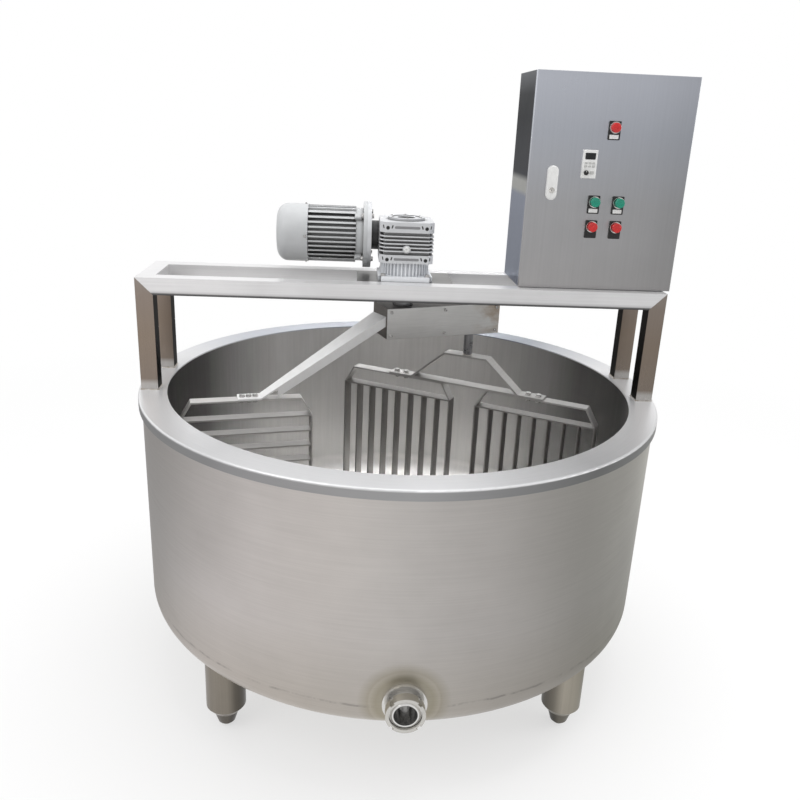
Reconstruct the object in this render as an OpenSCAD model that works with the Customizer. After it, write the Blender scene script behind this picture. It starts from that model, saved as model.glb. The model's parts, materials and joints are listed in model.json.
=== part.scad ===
// Round cheese vat: a jacketed double-walled tank on four legs, a tube bridge that carries
// a worm-gear motor, a planetary stirrer with three cutting harps, and a control cabinet.
// Millimetres, +Z up. The origin is on the tank axis at floor level, the drain points to -Y
// and the bridge runs along X with the cabinet at its +X end.

/* [Tank] */
// Height of the rim's top face above the floor
rim_z = 910; // [860:1:980]
// Outer radius of the rim ring
rim_r = 800; // [770:1:850]
// Width of the rim ring, inner wall to outer edge
rim_w = 83; // [78:1:100]
// Sheet thickness of the rim ring
rim_t = 4; // [3:0.5:6]
// Height of the turned-down skirt of the rim
rim_skirt_h = 28; // [20:1:40]
// Radius of the rolled outer edge of the rim
rim_edge_r = 5; // [4.5:0.5:12]
// Inside depth of the tank, rim to floor
vat_depth = 636; // [620:1:660]
// Sheet thickness of the inner tank
tank_t = 4; // [3:0.5:6]
// Inside radius of the tank's bottom corner
tank_knuckle_r = 64; // [50:1:80]
// Sheet thickness of the outer shell
shell_t = 3; // [2:0.5:5]
// Step from the rim's edge in to the outer shell
shell_inset = 10; // [6:1:14]
// Outside radius of the shell's bottom corner
shell_knuckle_r = 72; // [60:1:90]
// Water space between the tank and its heating jacket
jacket_gap = 20; // [14:1:28]
// Sheet thickness of the heating jacket
jacket_t = 3; // [2:0.5:5]
// Drop from the rim to the top of the heating jacket
jacket_drop = 110; // [80:1:200]
// Insulation under the heating jacket
insulation_t = 30; // [22:1:45]

/* [Drain and jacket ports] */
// Reach of the drain and the jacket ports beyond the shell
stub_len = 50; // [46:1:60]
// Bore of the drain
drain_bore_d = 60; // [50:1:66]
// Wall of the drain pipe
drain_wall = 4; // [3:0.5:5]
// Lift of the drain bore above the tank floor
drain_lift = 6; // [5.5:0.5:9]
// Diameter of the polished collar at the drain mouth
drain_collar_d = 80; // [76:1:84]
// Length of the collar at the drain mouth
drain_collar_w = 14; // [10:1:16]
// Diameter of the loose union nut round the collar
nut_d = 102; // [98:1:110]
// Width of the union nut
nut_w = 30; // [27:1:33]
// Reach of the union nut in front of the collar
nut_lip = 3; // [2:0.5:5]
// Width of a spanner notch in the union nut
notch_w = 12; // [9:0.5:15]
// Depth of a spanner notch in the union nut
notch_d = 5; // [3:0.5:6]
// Thickness of the weld pad round the drain
drain_pad_w = 8; // [6:1:10]
// Diameter of the weld pad round the drain
drain_pad_d = 116; // [112:1:130]
// Outside diameter of a jacket port
port_d = 42; // [34:1:50]
// Wall of a jacket port
port_wall = 4; // [3:0.5:6]
// Distance of each jacket port from the tank's middle plane
port_x = 160; // [120:1:220]
// Height of the jacket ports above the drain axis
port_rise = 60; // [50:1:160]

/* [Legs] */
// Outside diameter of a leg tube
leg_d = 114; // [100:1:124]
// Wall of a leg tube
leg_wall = 4; // [3:0.5:6]
// Distance of the leg axis inside the shell wall
leg_inset = 86; // [75:1:105]
// Height of the leg's tapered lower end
leg_taper_h = 22; // [15:1:30]
// Diameter of the bullet foot where it meets the leg
foot_d = 74; // [66:1:80]
// Height of the foot below the leg
foot_h = 50; // [40:1:60]
// Length of the foot's stem inside the leg
foot_stem = 30; // [20:1:40]
// Diameter of the foot's thread inside the leg
stem_d = 24; // [18:1:30]
// Diameter of the foot's flat tip
foot_tip_d = 26; // [20:1:30]
// Height of the blunt end of the foot
foot_nose_h = 12; // [8:1:16]

/* [Bridge] */
// Side of the square tube
tube = 50; // [45:1:56]
// Wall of the square tube
tube_wall = 3; // [2:0.5:5]
// Height of the bridge's top above the rim
bridge_h = 338; // [330:1:380]
// Depth of the bridge over both rails
bridge_depth = 274; // [266:1:290]
// Step from the rim's edge in to the posts
bridge_inset = 20; // [16:1:24]
// Length of the plate that carries the drive
drive_plate_w = 286; // [270:1:330]
// Thickness of the drive plate
drive_plate_t = 10; // [8:0.5:14]

/* [Gearbox] */
// Width of the gearbox along the worm
gear_w = 160; // [154:1:176]
// Reach of the gearbox in front of the output axis
gear_front = 85; // [82:1:92]
// Height of the housing
gear_h = 120; // [112:1:132]
// Height of the upper flange band
band_top_h = 30; // [26:1:32]
// Height of the lower flange band
band_low_h = 25; // [22:1:28]
// Cut-off at the band corners
band_cut = 16; // [10:1:22]
// Depth of the cooling fins on the housing
gear_fin_depth = 12; // [8:1:14]
// Thickness of a housing fin
gear_fin_t = 4; // [3:0.5:5]
// Number of fins between the bands
gear_fins = 5; // [4:1:6]
// Distance from the output axis to the worm axis
worm_offset = 75; // [74:0.5:80]
// Outside radius of the tunnel round the worm
tunnel_r = 44; // [40:1:48]
// Height of the ribbed neck and its flange below the housing
neck_h = 55; // [45:1:65]
// Radius of the neck's core
neck_r = 66; // [60:1:70]
// Number of ribs round the neck
neck_ribs = 40; // [30:2:44]
// Reach of a neck rib beyond the core
neck_rib_out = 8; // [5:1:10]
// Thickness of a neck rib
neck_rib_t = 4; // [3:0.5:5]
// Side of the square base flange
base_w = 162; // [156:1:172]
// Thickness of the base flange
base_t = 15; // [12:1:18]
// Width of the open bolt slots at the base corners
base_slot_w = 12; // [9:0.5:14]
// Radius of the bearing cover on top
cover_r = 56; // [52:1:60]
// Thickness of the bearing cover
cover_t = 8; // [6:0.5:10]

/* [Gear train] */
// Gap between the worm and its wheel
mesh_gap = 1; // [0.5:0.25:2]
// Width of the worm wheel
wheel_w = 30; // [24:1:36]
// Radius of the hollow output hub
hub_r = 28; // [26:0.5:31]
// Radius of the worm
worm_r = 18; // [14:0.5:18]
// Radius of the motor and worm shaft
rotor_shaft_r = 11; // [9:0.5:12]

/* [Motor] */
// Length of the neck between housing and motor flange
input_neck = 23; // [18:1:28]
// Radius of the mating flanges
flange_r = 100; // [96:1:106]
// Thickness of each mating flange
flange_t = 12; // [9:1:14]
// Length of the motor's end bell
bell_l = 23; // [18:1:30]
// Radius of the motor's end bell
bell_r = 80; // [74:1:84]
// Length of the finned frame
frame_l = 145; // [130:1:170]
// Radius over the frame fins
frame_r = 85; // [80:1:90]
// Radius of the frame under the fins
frame_core_r = 70; // [66:1:73]
// Thickness of a frame fin
frame_fin_t = 5; // [3:0.5:6]
// Distance between frame fins
frame_fin_pitch = 14; // [12:0.5:16]
// Wall from the frame core in to the stator bore
stator_wall = 22; // [16:1:26]
// Thickness of the end shield at the fan
shield_t = 10; // [8:1:14]
// Length of the fan cover
fan_cover_l = 95; // [85:1:110]
// Radius of the fan cover
fan_cover_r = 87; // [86:0.5:92]
// Rounding of the fan cover's end
fan_dome_r = 34; // [24:1:36]
// Sheet thickness of the fan cover
fan_sheet = 2; // [1.5:0.5:3]
// Distance between the slots of the fan grille
grille_pitch = 14; // [12:1:17]
// Radius of the fan
fan_r = 72; // [60:1:76]
// Width of the fan
fan_w = 30; // [24:1:36]
// Gap from the frame to the fan
fan_in = 15; // [10:1:20]
// Thickness of the fan disc and blades
fan_disc_t = 4; // [3:0.5:5]
// Side of the terminal box
terminal_w = 90; // [80:1:100]
// Reach of the terminal box beyond the fins
terminal_out = 48; // [40:1:60]
// Distance of the terminal box from the fan cover
terminal_in = 28; // [20:1:40]
// Number of fan blades
fan_blades = 8; // [6:1:10]

/* [Planetary head] */
// Direction of the planet from the tank axis at rest
carrier_angle = 19.5; // [0:0.5:40]
// Distance from the tank axis to the planet axis
orbit_r = 240; // [225:1:250]
// Depth of the carrier case
case_d = 122; // [116:1:136]
// Height of the carrier case
case_h = 95; // [86:1:100]
// Gap from the bridge tubes down to the carrier case
case_drop = 34; // [20:1:44]
// Length of the case beyond each of its two axes
case_end = 72; // [66:1:76]
// Plate thickness of the carrier case
case_t = 6; // [4:0.5:8]
// Thickness of the bolted front cover
case_cover_t = 5; // [4:0.5:6]
// Radius of the main shaft
main_shaft_r = 20; // [18:0.5:22]
// Wall of the fixed sleeve round the main shaft
sleeve_wall = 10; // [8:0.5:12]
// Radius of the sleeve's flange under the drive plate
sleeve_flange_r = 62; // [55:1:75]
// Thickness of the sleeve's flange
sleeve_flange_t = 12; // [10:0.5:16]
// Teeth on the fixed sprocket
sun_teeth = 22; // [20:2:24]
// Teeth on the planet sprocket
planet_teeth = 11; // [10:1:12]
// Chain pitch
chain_pitch = 12.7; // [12:0.1:13]
// Height of the sprockets
sprocket_t = 7; // [5:0.5:9]
// Thickness of the chain outward from the teeth
chain_t = 5; // [3:0.5:5]
// Radius of the planet shaft
planet_shaft_r = 15; // [12:0.5:15]
// Radius of the bearing bosses inside the case
boss_r = 32; // [28:1:36]
// Height of the bearing bosses inside the case
boss_h = 14; // [10:1:20]

/* [Harps] */
// Direction of the planet harps at rest
harp_angle = -28.5; // [-60:0.5:60]
// Clearance of the harps from the tank wall at their widest sweep
sweep_gap = 30; // [24:1:40]
// Drop from the rim to the harps' top bars
harp_drop = 90; // [80:1:110]
// Clearance of the harps above the tank floor
floor_gap = 41; // [32:1:60]
// Width of the harp bars across the harp
bar_w = 40; // [34:1:46]
// Thickness of the harp bars
bar_t = 5; // [4:0.5:7]
// Half the gap between the two planet harps
harp_split = 44; // [36:1:60]
// Slats in each planet harp
slat_count = 9; // [7:1:10]
// Gap from the planet's sweep to the fixed harp
fixed_gap = 76; // [60:1:90]
// Slats in the fixed harp
fixed_slats = 11; // [9:1:13]
// Height of the bails above the top bars
bail_h = 58; // [50:1:64]
// Run of a bail's sloping ends
bail_run = 34; // [28:1:44]
// Height of the yoke above the bails
yoke_h = 106; // [90:1:120]
// Half length of the yoke's top
yoke_top = 74; // [60:1:90]
// Half length of the yoke's foot
yoke_foot = 190; // [170:1:210]
// Half length of the yoke's clamp bar
yoke_bar = 272; // [255:1:290]
// Width of the yoke bar
yoke_w = 46; // [40:1:50]
// Thickness of the yoke bar
yoke_t = 6; // [5:0.5:8]

/* [Arm] */
// Turn of the arm from the line of the carrier
arm_turn = -7; // [-10:0.5:0]
// Width of the arm at the carrier
arm_w = 108; // [96:1:112]
// Width of the arm at the fixed harp
arm_tip_w = 50; // [44:1:60]
// Plate thickness of the arm
arm_t = 6; // [4:0.5:8]
// Depth of the arm's turned-down edges
arm_edge = 32; // [24:1:36]
// Drop from the case's top to the arm's top where they meet
arm_root = 26; // [20:1:40]
// Length of the clamp tab on the fixed harp
arm_tab = 69; // [55:1:80]
// Distance from the fixed harp's inner end to the arm's lower bend
arm_reach = 160; // [140:1:180]

/* [Cabinet] */
// Width of the cabinet
cab_w = 459; // [440:1:470]
// Depth of the cabinet with its door
cab_d = 247; // [230:1:270]
// Height of the cabinet
cab_h = 603; // [570:1:640]
// Step from the rim's edge in to the cabinet's outer side
cab_inset = 3; // [2:1:20]
// Step from the front rail's face back to the door
cab_setback = 35; // [25:1:45]
// Sheet thickness of the cabinet
cab_t = 2; // [1.5:0.5:3]
// Depth of the door's turned edges
door_d = 20; // [18:0.5:24]
// Gap between the door's edges and the cabinet
door_gap = 3.5; // [3:0.5:5]
// Gap under the door
door_rise = 2; // [1.5:0.5:4]
// Inset of the sealing lip from the cabinet's sides
lip_inset = 26; // [24:1:32]
// Thickness of the door seal
seal_t = 8; // [6:0.5:10]
// Inset of the hinge axis from the door's right side
hinge_side = 8; // [7.5:0.5:9]
// Inset of the hinge axis from the door's front
hinge_front = 9; // [8.5:0.5:10]
// Radius of a hinge pin
hinge_pin_r = 3; // [2.5:0.5:3.5]
// Wall round a hinge pin
hinge_wall = 1.5; // [1:0.25:1.75]
// Height of a hinge bracket
hinge_h = 16; // [12:1:24]
// Distance of each hinge from the cabinet's end
hinge_z = 90; // [70:1:140]
// Width of the door seal
seal_w = 14; // [10:1:16]
// Width of the mounting panel
panel_w = 380; // [340:1:400]
// Height of the mounting panel
panel_h = 520; // [480:1:550]
// Thickness of the mounting panel
panel_t = 3; // [2:0.5:4]
// Radius of a panel stud
stud_r = 6; // [4:0.5:8]
// Inset of the studs from the panel edge
stud_inset = 15; // [10:1:20]
// Width of the motor inverter
inverter_w = 110; // [90:1:130]
// Depth of the motor inverter
inverter_d = 110; // [90:1:130]
// Height of the motor inverter
inverter_h = 180; // [150:1:210]
// Depth of the inverter's cooling fins
sink_d = 38; // [30:1:50]
// Pitch of the inverter's cooling fins
sink_pitch = 12; // [10:1:15]
// Height of the inverter's terminal cover
wiring_h = 50; // [40:1:60]
// Step back of the inverter's terminal cover
wiring_step = 12; // [8:1:20]
// Width of the rail that carries the contactors
din_w = 35; // [30:1:40]
// Depth of the rail that carries the contactors
din_d = 7.5; // [6:0.5:10]
// Sheet thickness of that rail
din_t = 1; // [0.8:0.1:1.5]
// Height of the contactors' narrow front part
coil_h = 44; // [36:1:50]
// Depth of the contactors' narrow front part
coil_d = 28; // [20:1:36]
// Width of a contactor
contactor_w = 48; // [40:1:56]
// Depth of a contactor
contactor_d = 70; // [60:1:85]
// Height of a contactor
contactor_h = 80; // [70:1:95]
// Distance between contactors
contactor_pitch = 65; // [58:1:75]
// Drop of the contactors below the cabinet middle
contactor_drop = 160; // [130:1:190]
// Thread diameter of the cable gland
gland_d = 20; // [16:1:25]
// Gap behind the mounting panel
panel_gap = 22; // [15:1:30]

/* [Door devices] */
// Bore for the round devices in the door
device_d = 22; // [20:0.5:24]
// Length of a device behind the door face
device_in = 24; // [22:1:40]
// Wall of a bezel round its plunger
bezel_wall = 3; // [2:0.5:4]
// Diameter of a button bezel
bezel_d = 32; // [30:0.5:33]
// Reach of a bezel in front of the door
bezel_out = 11; // [8:0.5:14]
// Diameter of a button cap
cap_d = 27; // [26:0.5:28]
// Reach of a button cap in front of its bezel
cap_out = 11; // [8:0.5:14]
// Travel of a button
button_travel = 4; // [3:0.5:5]
// Width of a legend plate
plate_w = 34; // [33.5:0.5:37]
// Height of a legend plate
plate_h = 50; // [46:1:54]
// Thickness of a legend plate
plate_t = 2; // [1.5:0.5:3]
// Left column of buttons, from the cabinet's left side
button_x = 196; // [180:1:210]
// Distance between the button columns
button_dx = 71; // [60:1:90]
// Height of the start buttons above the cabinet's foot
start_z = 256; // [245:1:270]
// Height of the stop buttons above the cabinet's foot
stop_z = 186; // [170:1:195]
// Pilot lamp from the cabinet's left side
lamp_x = 231; // [215:1:250]
// Pilot lamp above the cabinet's foot
lamp_z = 461; // [445:1:480]
// Keypad centre from the cabinet's left side
keypad_x = 169; // [160:1:180]
// Keypad centre above the cabinet's foot
keypad_z = 360; // [345:1:370]
// Width of the keypad
keypad_w = 42; // [40:1:46]
// Height of the keypad
keypad_h = 78; // [74:1:84]
// Reach of the keypad in front of the door
keypad_out = 9; // [7:0.5:12]
// Edge of the keypad that covers its cut-out
keypad_edge = 4; // [3:0.5:6]
// Depth of the keypad behind the door face
keypad_in = 12; // [10:1:18]
// Diameter of the speed knob
knob_d = 13; // [11:0.5:14]
// Radius of the speed knob shaft
knob_shaft_r = 3; // [2:0.5:4]
// Reach of the speed knob in front of the keypad
knob_out = 8; // [6:0.5:10]
// Lock centre from the cabinet's left side
lock_x = 67; // [60:1:72]
// Lock centre above the cabinet's foot
lock_z = 305; // [295:1:315]
// Width of the lock handle
lock_w = 31; // [28:1:34]
// Height of the lock handle
lock_h = 95; // [90:1:100]
// Radius of the lock spindle
spindle_r = 8; // [6:0.5:9]
// Length of the lock cam
cam_l = 35; // [28:1:40]
// Thickness of the lock cam
cam_t = 4; // [3:0.5:5]
// Reach of the lock handle in front of the door
lock_out = 11; // [9:0.5:14]

/* [Fits] */
// Radial running clearance of shafts and pins
run_gap = 0.05; // [0.02:0.01:0.1]
// Gap at welds and seats between curved pieces
seat_gap = 0.3; // [0.2:0.05:0.5]
// Free gap between pieces that move past each other
free_gap = 1.5; // [1:0.5:3]

/* [Hidden] */
$fn = 72;
round_fn = 240;
over = 1;

// Tank levels and radii
tank_r = rim_r - rim_w;
shell_r = rim_r - shell_inset;
rim_low = rim_z - rim_t;
tank_floor = rim_z - vat_depth;
jacket_r = tank_r + tank_t + jacket_gap + jacket_t;
jacket_floor = tank_floor - tank_t - jacket_gap - jacket_t;
jacket_top = rim_z - jacket_drop;
jacket_knuckle_r = tank_knuckle_r + tank_t + jacket_gap + jacket_t;
shell_floor = jacket_floor - insulation_t - shell_t;

// Drain and ports
drain_z = tank_floor + drain_bore_d / 2 + drain_lift;
drain_r = drain_bore_d / 2 + drain_wall;
drain_start = tank_r - tank_knuckle_r;
stub_face = shell_r + stub_len;
collar_front = stub_face - nut_lip;
collar_back = collar_front - drain_collar_w;
nut_back = stub_face - nut_w;
nut_room_r = drain_collar_d / 2 + free_gap;
port_z = drain_z + port_rise;

// Legs
leg_circle = shell_r - leg_inset;
leg_angles = [225, 315, 45, 135];
leg_top = shell_floor + shell_knuckle_r;

// Bridge
rail_top = rim_z + bridge_h;
rail_low = rail_top - tube;
bridge_x = rim_r - bridge_inset;
rail_y = bridge_depth / 2;
bay_y = rail_y - tube;
plate_low = rail_top - drive_plate_t;

// Gearbox
gear_low = rail_top + neck_h;
gear_top = gear_low + gear_h;
gear_z = gear_low + gear_h / 2;
gear_fin_pitch = (gear_h - band_top_h - band_low_h) / (gear_fins + 1);
core_half = gear_w / 2 - gear_fin_depth;
wheel_r = worm_offset - worm_r - mesh_gap;
worm_room = 0.7 * core_half;

// Motor, as distances from the output axis along the motor
flange_x = gear_w / 2 + input_neck;
motor_face = flange_x + flange_t;
bell_x = motor_face + flange_t;
frame_x = bell_x + bell_l;
fan_x = frame_x + frame_l;
side_fins = floor((frame_r - frame_fin_t) / frame_fin_pitch);
stator_r = frame_core_r - stator_wall;
fan_hub_r = 2 * rotor_shaft_r;

// Planetary head
case_top = rail_low - case_drop;
case_low = case_top - case_h;
case_mid = (case_top + case_low) / 2;
case_l = orbit_r + 2 * case_end;
case_y = case_d / 2;
sleeve_r = main_shaft_r + run_gap + sleeve_wall;
sprocket_low = case_mid - sprocket_t / 2;
sun_r = chain_pitch / (2 * sin(180 / sun_teeth));
planet_r = chain_pitch / (2 * sin(180 / planet_teeth));
tooth_h = 0.3 * chain_pitch;
// Corners of one tooth: place within the pitch, then root or tip
tooth = [[-0.34, -1], [-0.16, 1], [0.16, 1], [0.34, -1]];
chain_in = tooth_h / 2 + seat_gap;

// Harps and arm
harp_top = rim_z - harp_drop;
harp_low = tank_floor + floor_gap;
harp_h = harp_top - harp_low;
harp_end = tank_r - sweep_gap - orbit_r;
harp_l = harp_end - harp_split;
bail_top = harp_top + bail_h;
fixed_in = harp_end - orbit_r + fixed_gap;
fixed_l = tank_r - sweep_gap - fixed_in;
yoke_z = bail_top + yoke_h;
arm_bend = fixed_in + arm_reach;
arm_start = case_end - arm_w / 2 * tan(abs(arm_turn));
edge_stop = arm_bend - 1.6 * arm_edge;

// Cabinet
cab_right = rim_r - cab_inset;
cab_x = cab_right - cab_w;
cab_front = -rail_y + cab_setback;
cab_back = cab_front + cab_d;
body_y = cab_front + door_d + door_gap;
body_d = cab_back - body_y;
lip_y = cab_front + cab_t + seal_t + seat_gap;
hinge_x = cab_right - hinge_side;
hinge_y = cab_front + hinge_front;
hinge_zs = [rail_top + hinge_z, rail_top + cab_h - hinge_z];
hinge_out = hinge_pin_r + hinge_wall;
panel_y = cab_back - cab_t - panel_gap;
din_l = 4 * contactor_pitch;
din_in = din_w / 2 - din_d / 2;
din_z = rail_top + cab_h / 2 - contactor_drop + contactor_h / 2;
gland_x = cab_x + cab_w / 4;
gland_y = body_y + body_d / 2;

// Door devices
button_xs = [button_x, button_x + button_dx];
plunger_r = device_d / 2 - bezel_wall;
cap_back = bezel_out + button_travel + seat_gap;
pivot_z = lock_z + lock_h / 4;
knob_x = keypad_x - keypad_w / 5;
knob_z = keypad_z - 0.3 * keypad_h;
keypad_in_w = keypad_w - 2 * keypad_edge;
keypad_in_h = keypad_h - 2 * keypad_edge;

steel = [0.70, 0.69, 0.67];
bright = [0.80, 0.80, 0.80];
cast = [0.78, 0.79, 0.80];
paint = [0.72, 0.73, 0.74];
black = [0.10, 0.10, 0.10];

// Shared shapes

// Solid cup of revolution with a rounded bottom corner
module cup(r, low, top, corner) rotate_extrude($fn = round_fn) {
    translate([0, low + corner]) square([r, top - low - corner]);
    translate([0, low]) square([r - corner, corner + over]);
    translate([r - corner, low + corner]) circle(corner);
}

// Round bar across the tank wall, y0 to y1 from the axis, to the front or to the rear
module front_bar(x, z, r, y0, y1) translate([x, -y0, z]) rotate([90, 0, 0]) cylinder(r = r, h = y1 - y0);
module rear_bar(x, z, r, y0, y1) translate([x, y1, z]) rotate([90, 0, 0]) cylinder(r = r, h = y1 - y0);

// Holes for the drain and the jacket ports through a wall
module wall_holes() {
    front_bar(0, drain_z, drain_r + seat_gap, drain_start - seat_gap, stub_face);
    for (x = [-port_x, port_x]) rear_bar(x, port_z, port_d / 2 + seat_gap, 0, stub_face);
}

// Space taken by the closed outer shell, with a seat gap for what is welded to it
module shell_seat() cup(shell_r + seat_gap, shell_floor - seat_gap, rim_low, shell_knuckle_r + seat_gap);

// Outline in the XZ plane, pushed out along Y about y = 0
module upright(w) rotate([90, 0, 0]) linear_extrude(w, center = true) children();

// Flat bar bent to a level top between two sloping ends
module bent_bar(l, run, h, w, t) {
    foot = t * norm([run, h]) / h;
    bend = foot + (h - t) * run / h;
    upright(w) polygon([[0, 0], [run, h], [l - run, h], [l, 0], [l - foot, 0], [l - bend, h - t],
        [bend, h - t], [foot, 0]]);
}

// Toothed wheel: each tooth has a root and a tip on both sides
module sprocket(teeth, r, bore) difference() {
    linear_extrude(sprocket_t) polygon([for (i = [0:teeth - 1], corner = tooth)
        let (a = 360 * (i + corner[0]) / teeth) (r + corner[1] * tooth_h / 2) * [cos(a), sin(a)]]);
    translate([0, 0, -over]) cylinder(r = bore, h = sprocket_t + 2 * over);
}

// Outline of a belt round both sprockets, a distance beyond their pitch circles
module belt_outline(out) hull() {
    circle(sun_r + out);
    translate([orbit_r, 0]) circle(planet_r + out);
}

// Frames of the turning parts: +X runs along the carrier, the arm or the harps
module at_carrier() rotate([0, 0, carrier_angle]) children();
module at_arm() rotate([0, 0, carrier_angle + 180 + arm_turn]) children();
module at_planet() at_carrier() translate([orbit_r, 0, 0]) rotate([0, 0, harp_angle - carrier_angle])
    children();

// Motor axis: local +Z runs away from the gearbox along the motor
module at_motor(z = 0) translate([-z, worm_offset, gear_z]) rotate([0, -90, 0]) children();

// Door face: x and z count from the cabinet's lower left corner, negative y is in front
module at_door(x, z, y = 0) translate([cab_x + x, cab_front + y, rail_top + z]) children();
module door_bar(x, z, r, y0, y1) at_door(x, z, y1) rotate([90, 0, 0]) cylinder(r = r, h = y1 - y0);

// Tank

module outer_shell() color(steel) difference() {
    cup(shell_r, shell_floor, rim_low, shell_knuckle_r);
    cup(shell_r - shell_t, shell_floor + shell_t, rim_low + over, shell_knuckle_r - shell_t);
    wall_holes();
}

module inner_tank() color(steel) difference() {
    cup(tank_r + tank_t, tank_floor - tank_t, rim_low, tank_knuckle_r + tank_t);
    cup(tank_r, tank_floor, rim_low + over, tank_knuckle_r);
    front_bar(0, drain_z, drain_r + seat_gap, drain_start - seat_gap, stub_face);
}

module heating_jacket() color(steel) difference() {
    cup(jacket_r, jacket_floor, jacket_top, jacket_knuckle_r);
    cup(jacket_r - jacket_t, jacket_floor + jacket_t, jacket_top - jacket_t, jacket_knuckle_r - jacket_t);
    translate([0, 0, jacket_top - jacket_t - over])
        cylinder(r = tank_r + tank_t + seat_gap, h = jacket_t + 2 * over);
    wall_holes();
}

module insulation() color([0.85, 0.80, 0.62]) difference() {
    cup(shell_r - shell_t - seat_gap, shell_floor + shell_t + seat_gap, rim_low - seat_gap,
        shell_knuckle_r - shell_t - seat_gap);
    cup(jacket_r + seat_gap, jacket_floor - seat_gap, rim_low, jacket_knuckle_r + seat_gap);
    wall_holes();
}

// Section of the rim out to a radius, with a rolled edge
module rim_section(r, top, edge) {
    low = rim_z - rim_skirt_h;
    translate([tank_r, low]) square([r - tank_r - edge, top - low]);
    translate([tank_r, low]) square([r - tank_r, top - low - edge]);
    translate([r - edge, top - edge]) circle(edge);
}

module rim_ring() color(bright) rotate_extrude() difference() {
    rim_section(rim_r, rim_z, rim_edge_r);
    translate([-over, -over]) square([tank_r + 2 * over, rim_low + over]);
    rim_section(rim_r - rim_t, rim_low, max(rim_edge_r - rim_t, rim_t / 8));
}

module drain_pipe() color(bright) difference() {
    union() {
        front_bar(0, drain_z, drain_r, drain_start, collar_front);
        front_bar(0, drain_z, drain_collar_d / 2, collar_back, collar_front - drain_collar_w / 3);
        translate([0, -collar_front + drain_collar_w / 3 + over, drain_z]) rotate([90, 0, 0])
            cylinder(r1 = drain_collar_d / 2, r2 = drain_r, h = drain_collar_w / 3 + over);
        difference() {
            front_bar(0, drain_z, drain_pad_d / 2, shell_r - shell_knuckle_r, shell_r + drain_pad_w);
            shell_seat();
        }
    }
    front_bar(0, drain_z, drain_bore_d / 2, 0, stub_face + over);
    cup(tank_r, tank_floor, rim_low, tank_knuckle_r);
}

module union_nut() color(bright) difference() {
    union() {
        translate([0, -nut_back, drain_z]) rotate([90, 0, 0])
            cylinder(r1 = nut_d / 2 - notch_d, r2 = nut_d / 2, h = notch_d);
        front_bar(0, drain_z, nut_d / 2, nut_back + notch_d, stub_face);
    }
    front_bar(0, drain_z, drain_r + run_gap, nut_back - over, stub_face + over);
    front_bar(0, drain_z, nut_room_r, collar_back - free_gap, stub_face + over);
    for (a = [45:90:315]) translate([0, 0, drain_z]) rotate([0, a, 0])
        translate([nut_d / 2 - notch_d, -stub_face - over, -notch_w / 2])
            cube([2 * notch_d, nut_w + 2 * over, notch_w]);
}

module jacket_ports() color(steel) for (x = [-port_x, port_x]) difference() {
    rear_bar(x, port_z, port_d / 2, tank_r, stub_face);
    rear_bar(x, port_z, port_d / 2 - port_wall, 0, stub_face + over);
    cylinder(r = tank_r + tank_t + jacket_gap / 2, h = rim_z);
}

// Legs and feet

module leg() difference() {
    union() {
        cylinder(r1 = foot_d / 2 + leg_wall / 2, r2 = leg_d / 2, h = leg_taper_h);
        translate([0, 0, leg_taper_h]) cylinder(r = leg_d / 2, h = leg_top - foot_h - leg_taper_h);
    }
    translate([0, 0, leg_taper_h + foot_stem]) cylinder(r = leg_d / 2 - leg_wall, h = leg_top);
    translate([0, 0, -over]) cylinder(r = stem_d / 2 + run_gap, h = leg_taper_h + foot_stem + 2 * over);
}

module legs() color(steel) difference() {
    for (a = leg_angles) rotate([0, 0, a]) translate([leg_circle, 0, foot_h]) leg();
    shell_seat();
}

module feet() color(steel) for (a = leg_angles) rotate([0, 0, a]) translate([leg_circle, 0, 0]) {
    rotate_extrude() polygon([[0, 0], [foot_tip_d / 2, 0], [foot_tip_d / 2 + foot_nose_h, foot_nose_h],
        [foot_d / 2, foot_h], [stem_d / 2, foot_h], [stem_d / 2, foot_h + foot_stem],
        [0, foot_h + foot_stem]]);
}

// Bridge

module rail(side) color(bright) translate([0, side * (rail_y - tube / 2), 0]) difference() {
    upright(tube) polygon([[-bridge_x, rail_top], [bridge_x, rail_top], [bridge_x - tube, rail_low],
        [-bridge_x + tube, rail_low]]);
    upright(tube - 2 * tube_wall) polygon([[-bridge_x + tube_wall - over, rail_top - tube_wall],
        [bridge_x - tube_wall + over, rail_top - tube_wall],
        [bridge_x - tube + tube_wall + over, rail_low + tube_wall],
        [-bridge_x + tube - tube_wall - over, rail_low + tube_wall]]);
}
module front_rail() rail(-1);
module rear_rail() rail(1);

module post(side) color(steel) translate([0, side * (rail_y - tube / 2), 0]) difference() {
    upright(tube) polygon([[bridge_x, rail_top], [bridge_x - tube, rail_low], [bridge_x - tube, rim_z],
        [bridge_x, rim_z]]);
    upright(tube - 2 * tube_wall) polygon([[bridge_x - tube_wall, rail_top - tube_wall + over],
        [bridge_x - tube + tube_wall, rail_low + tube_wall + over],
        [bridge_x - tube + tube_wall, rim_z - over], [bridge_x - tube_wall, rim_z - over]]);
}
module post_front_left() mirror([1, 0, 0]) post(-1);
module post_front_right() post(-1);
module post_rear_left() mirror([1, 0, 0]) post(1);
module post_rear_right() post(1);

module cross_tubes() color(bright) for (x = [-bridge_x, bridge_x - tube]) difference() {
    translate([x, -bay_y, rail_low]) cube([tube, 2 * bay_y, tube]);
    translate([x + tube_wall, -rail_y, rail_low + tube_wall])
        cube([tube - 2 * tube_wall, bridge_depth, tube - 2 * tube_wall]);
}

module drive_plate() color(bright) difference() {
    translate([-drive_plate_w / 2, -bay_y, plate_low]) cube([drive_plate_w, 2 * bay_y, drive_plate_t]);
    translate([0, 0, plate_low - over]) cylinder(r = hub_r + free_gap, h = drive_plate_t + 2 * over);
}

// Gearbox

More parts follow.
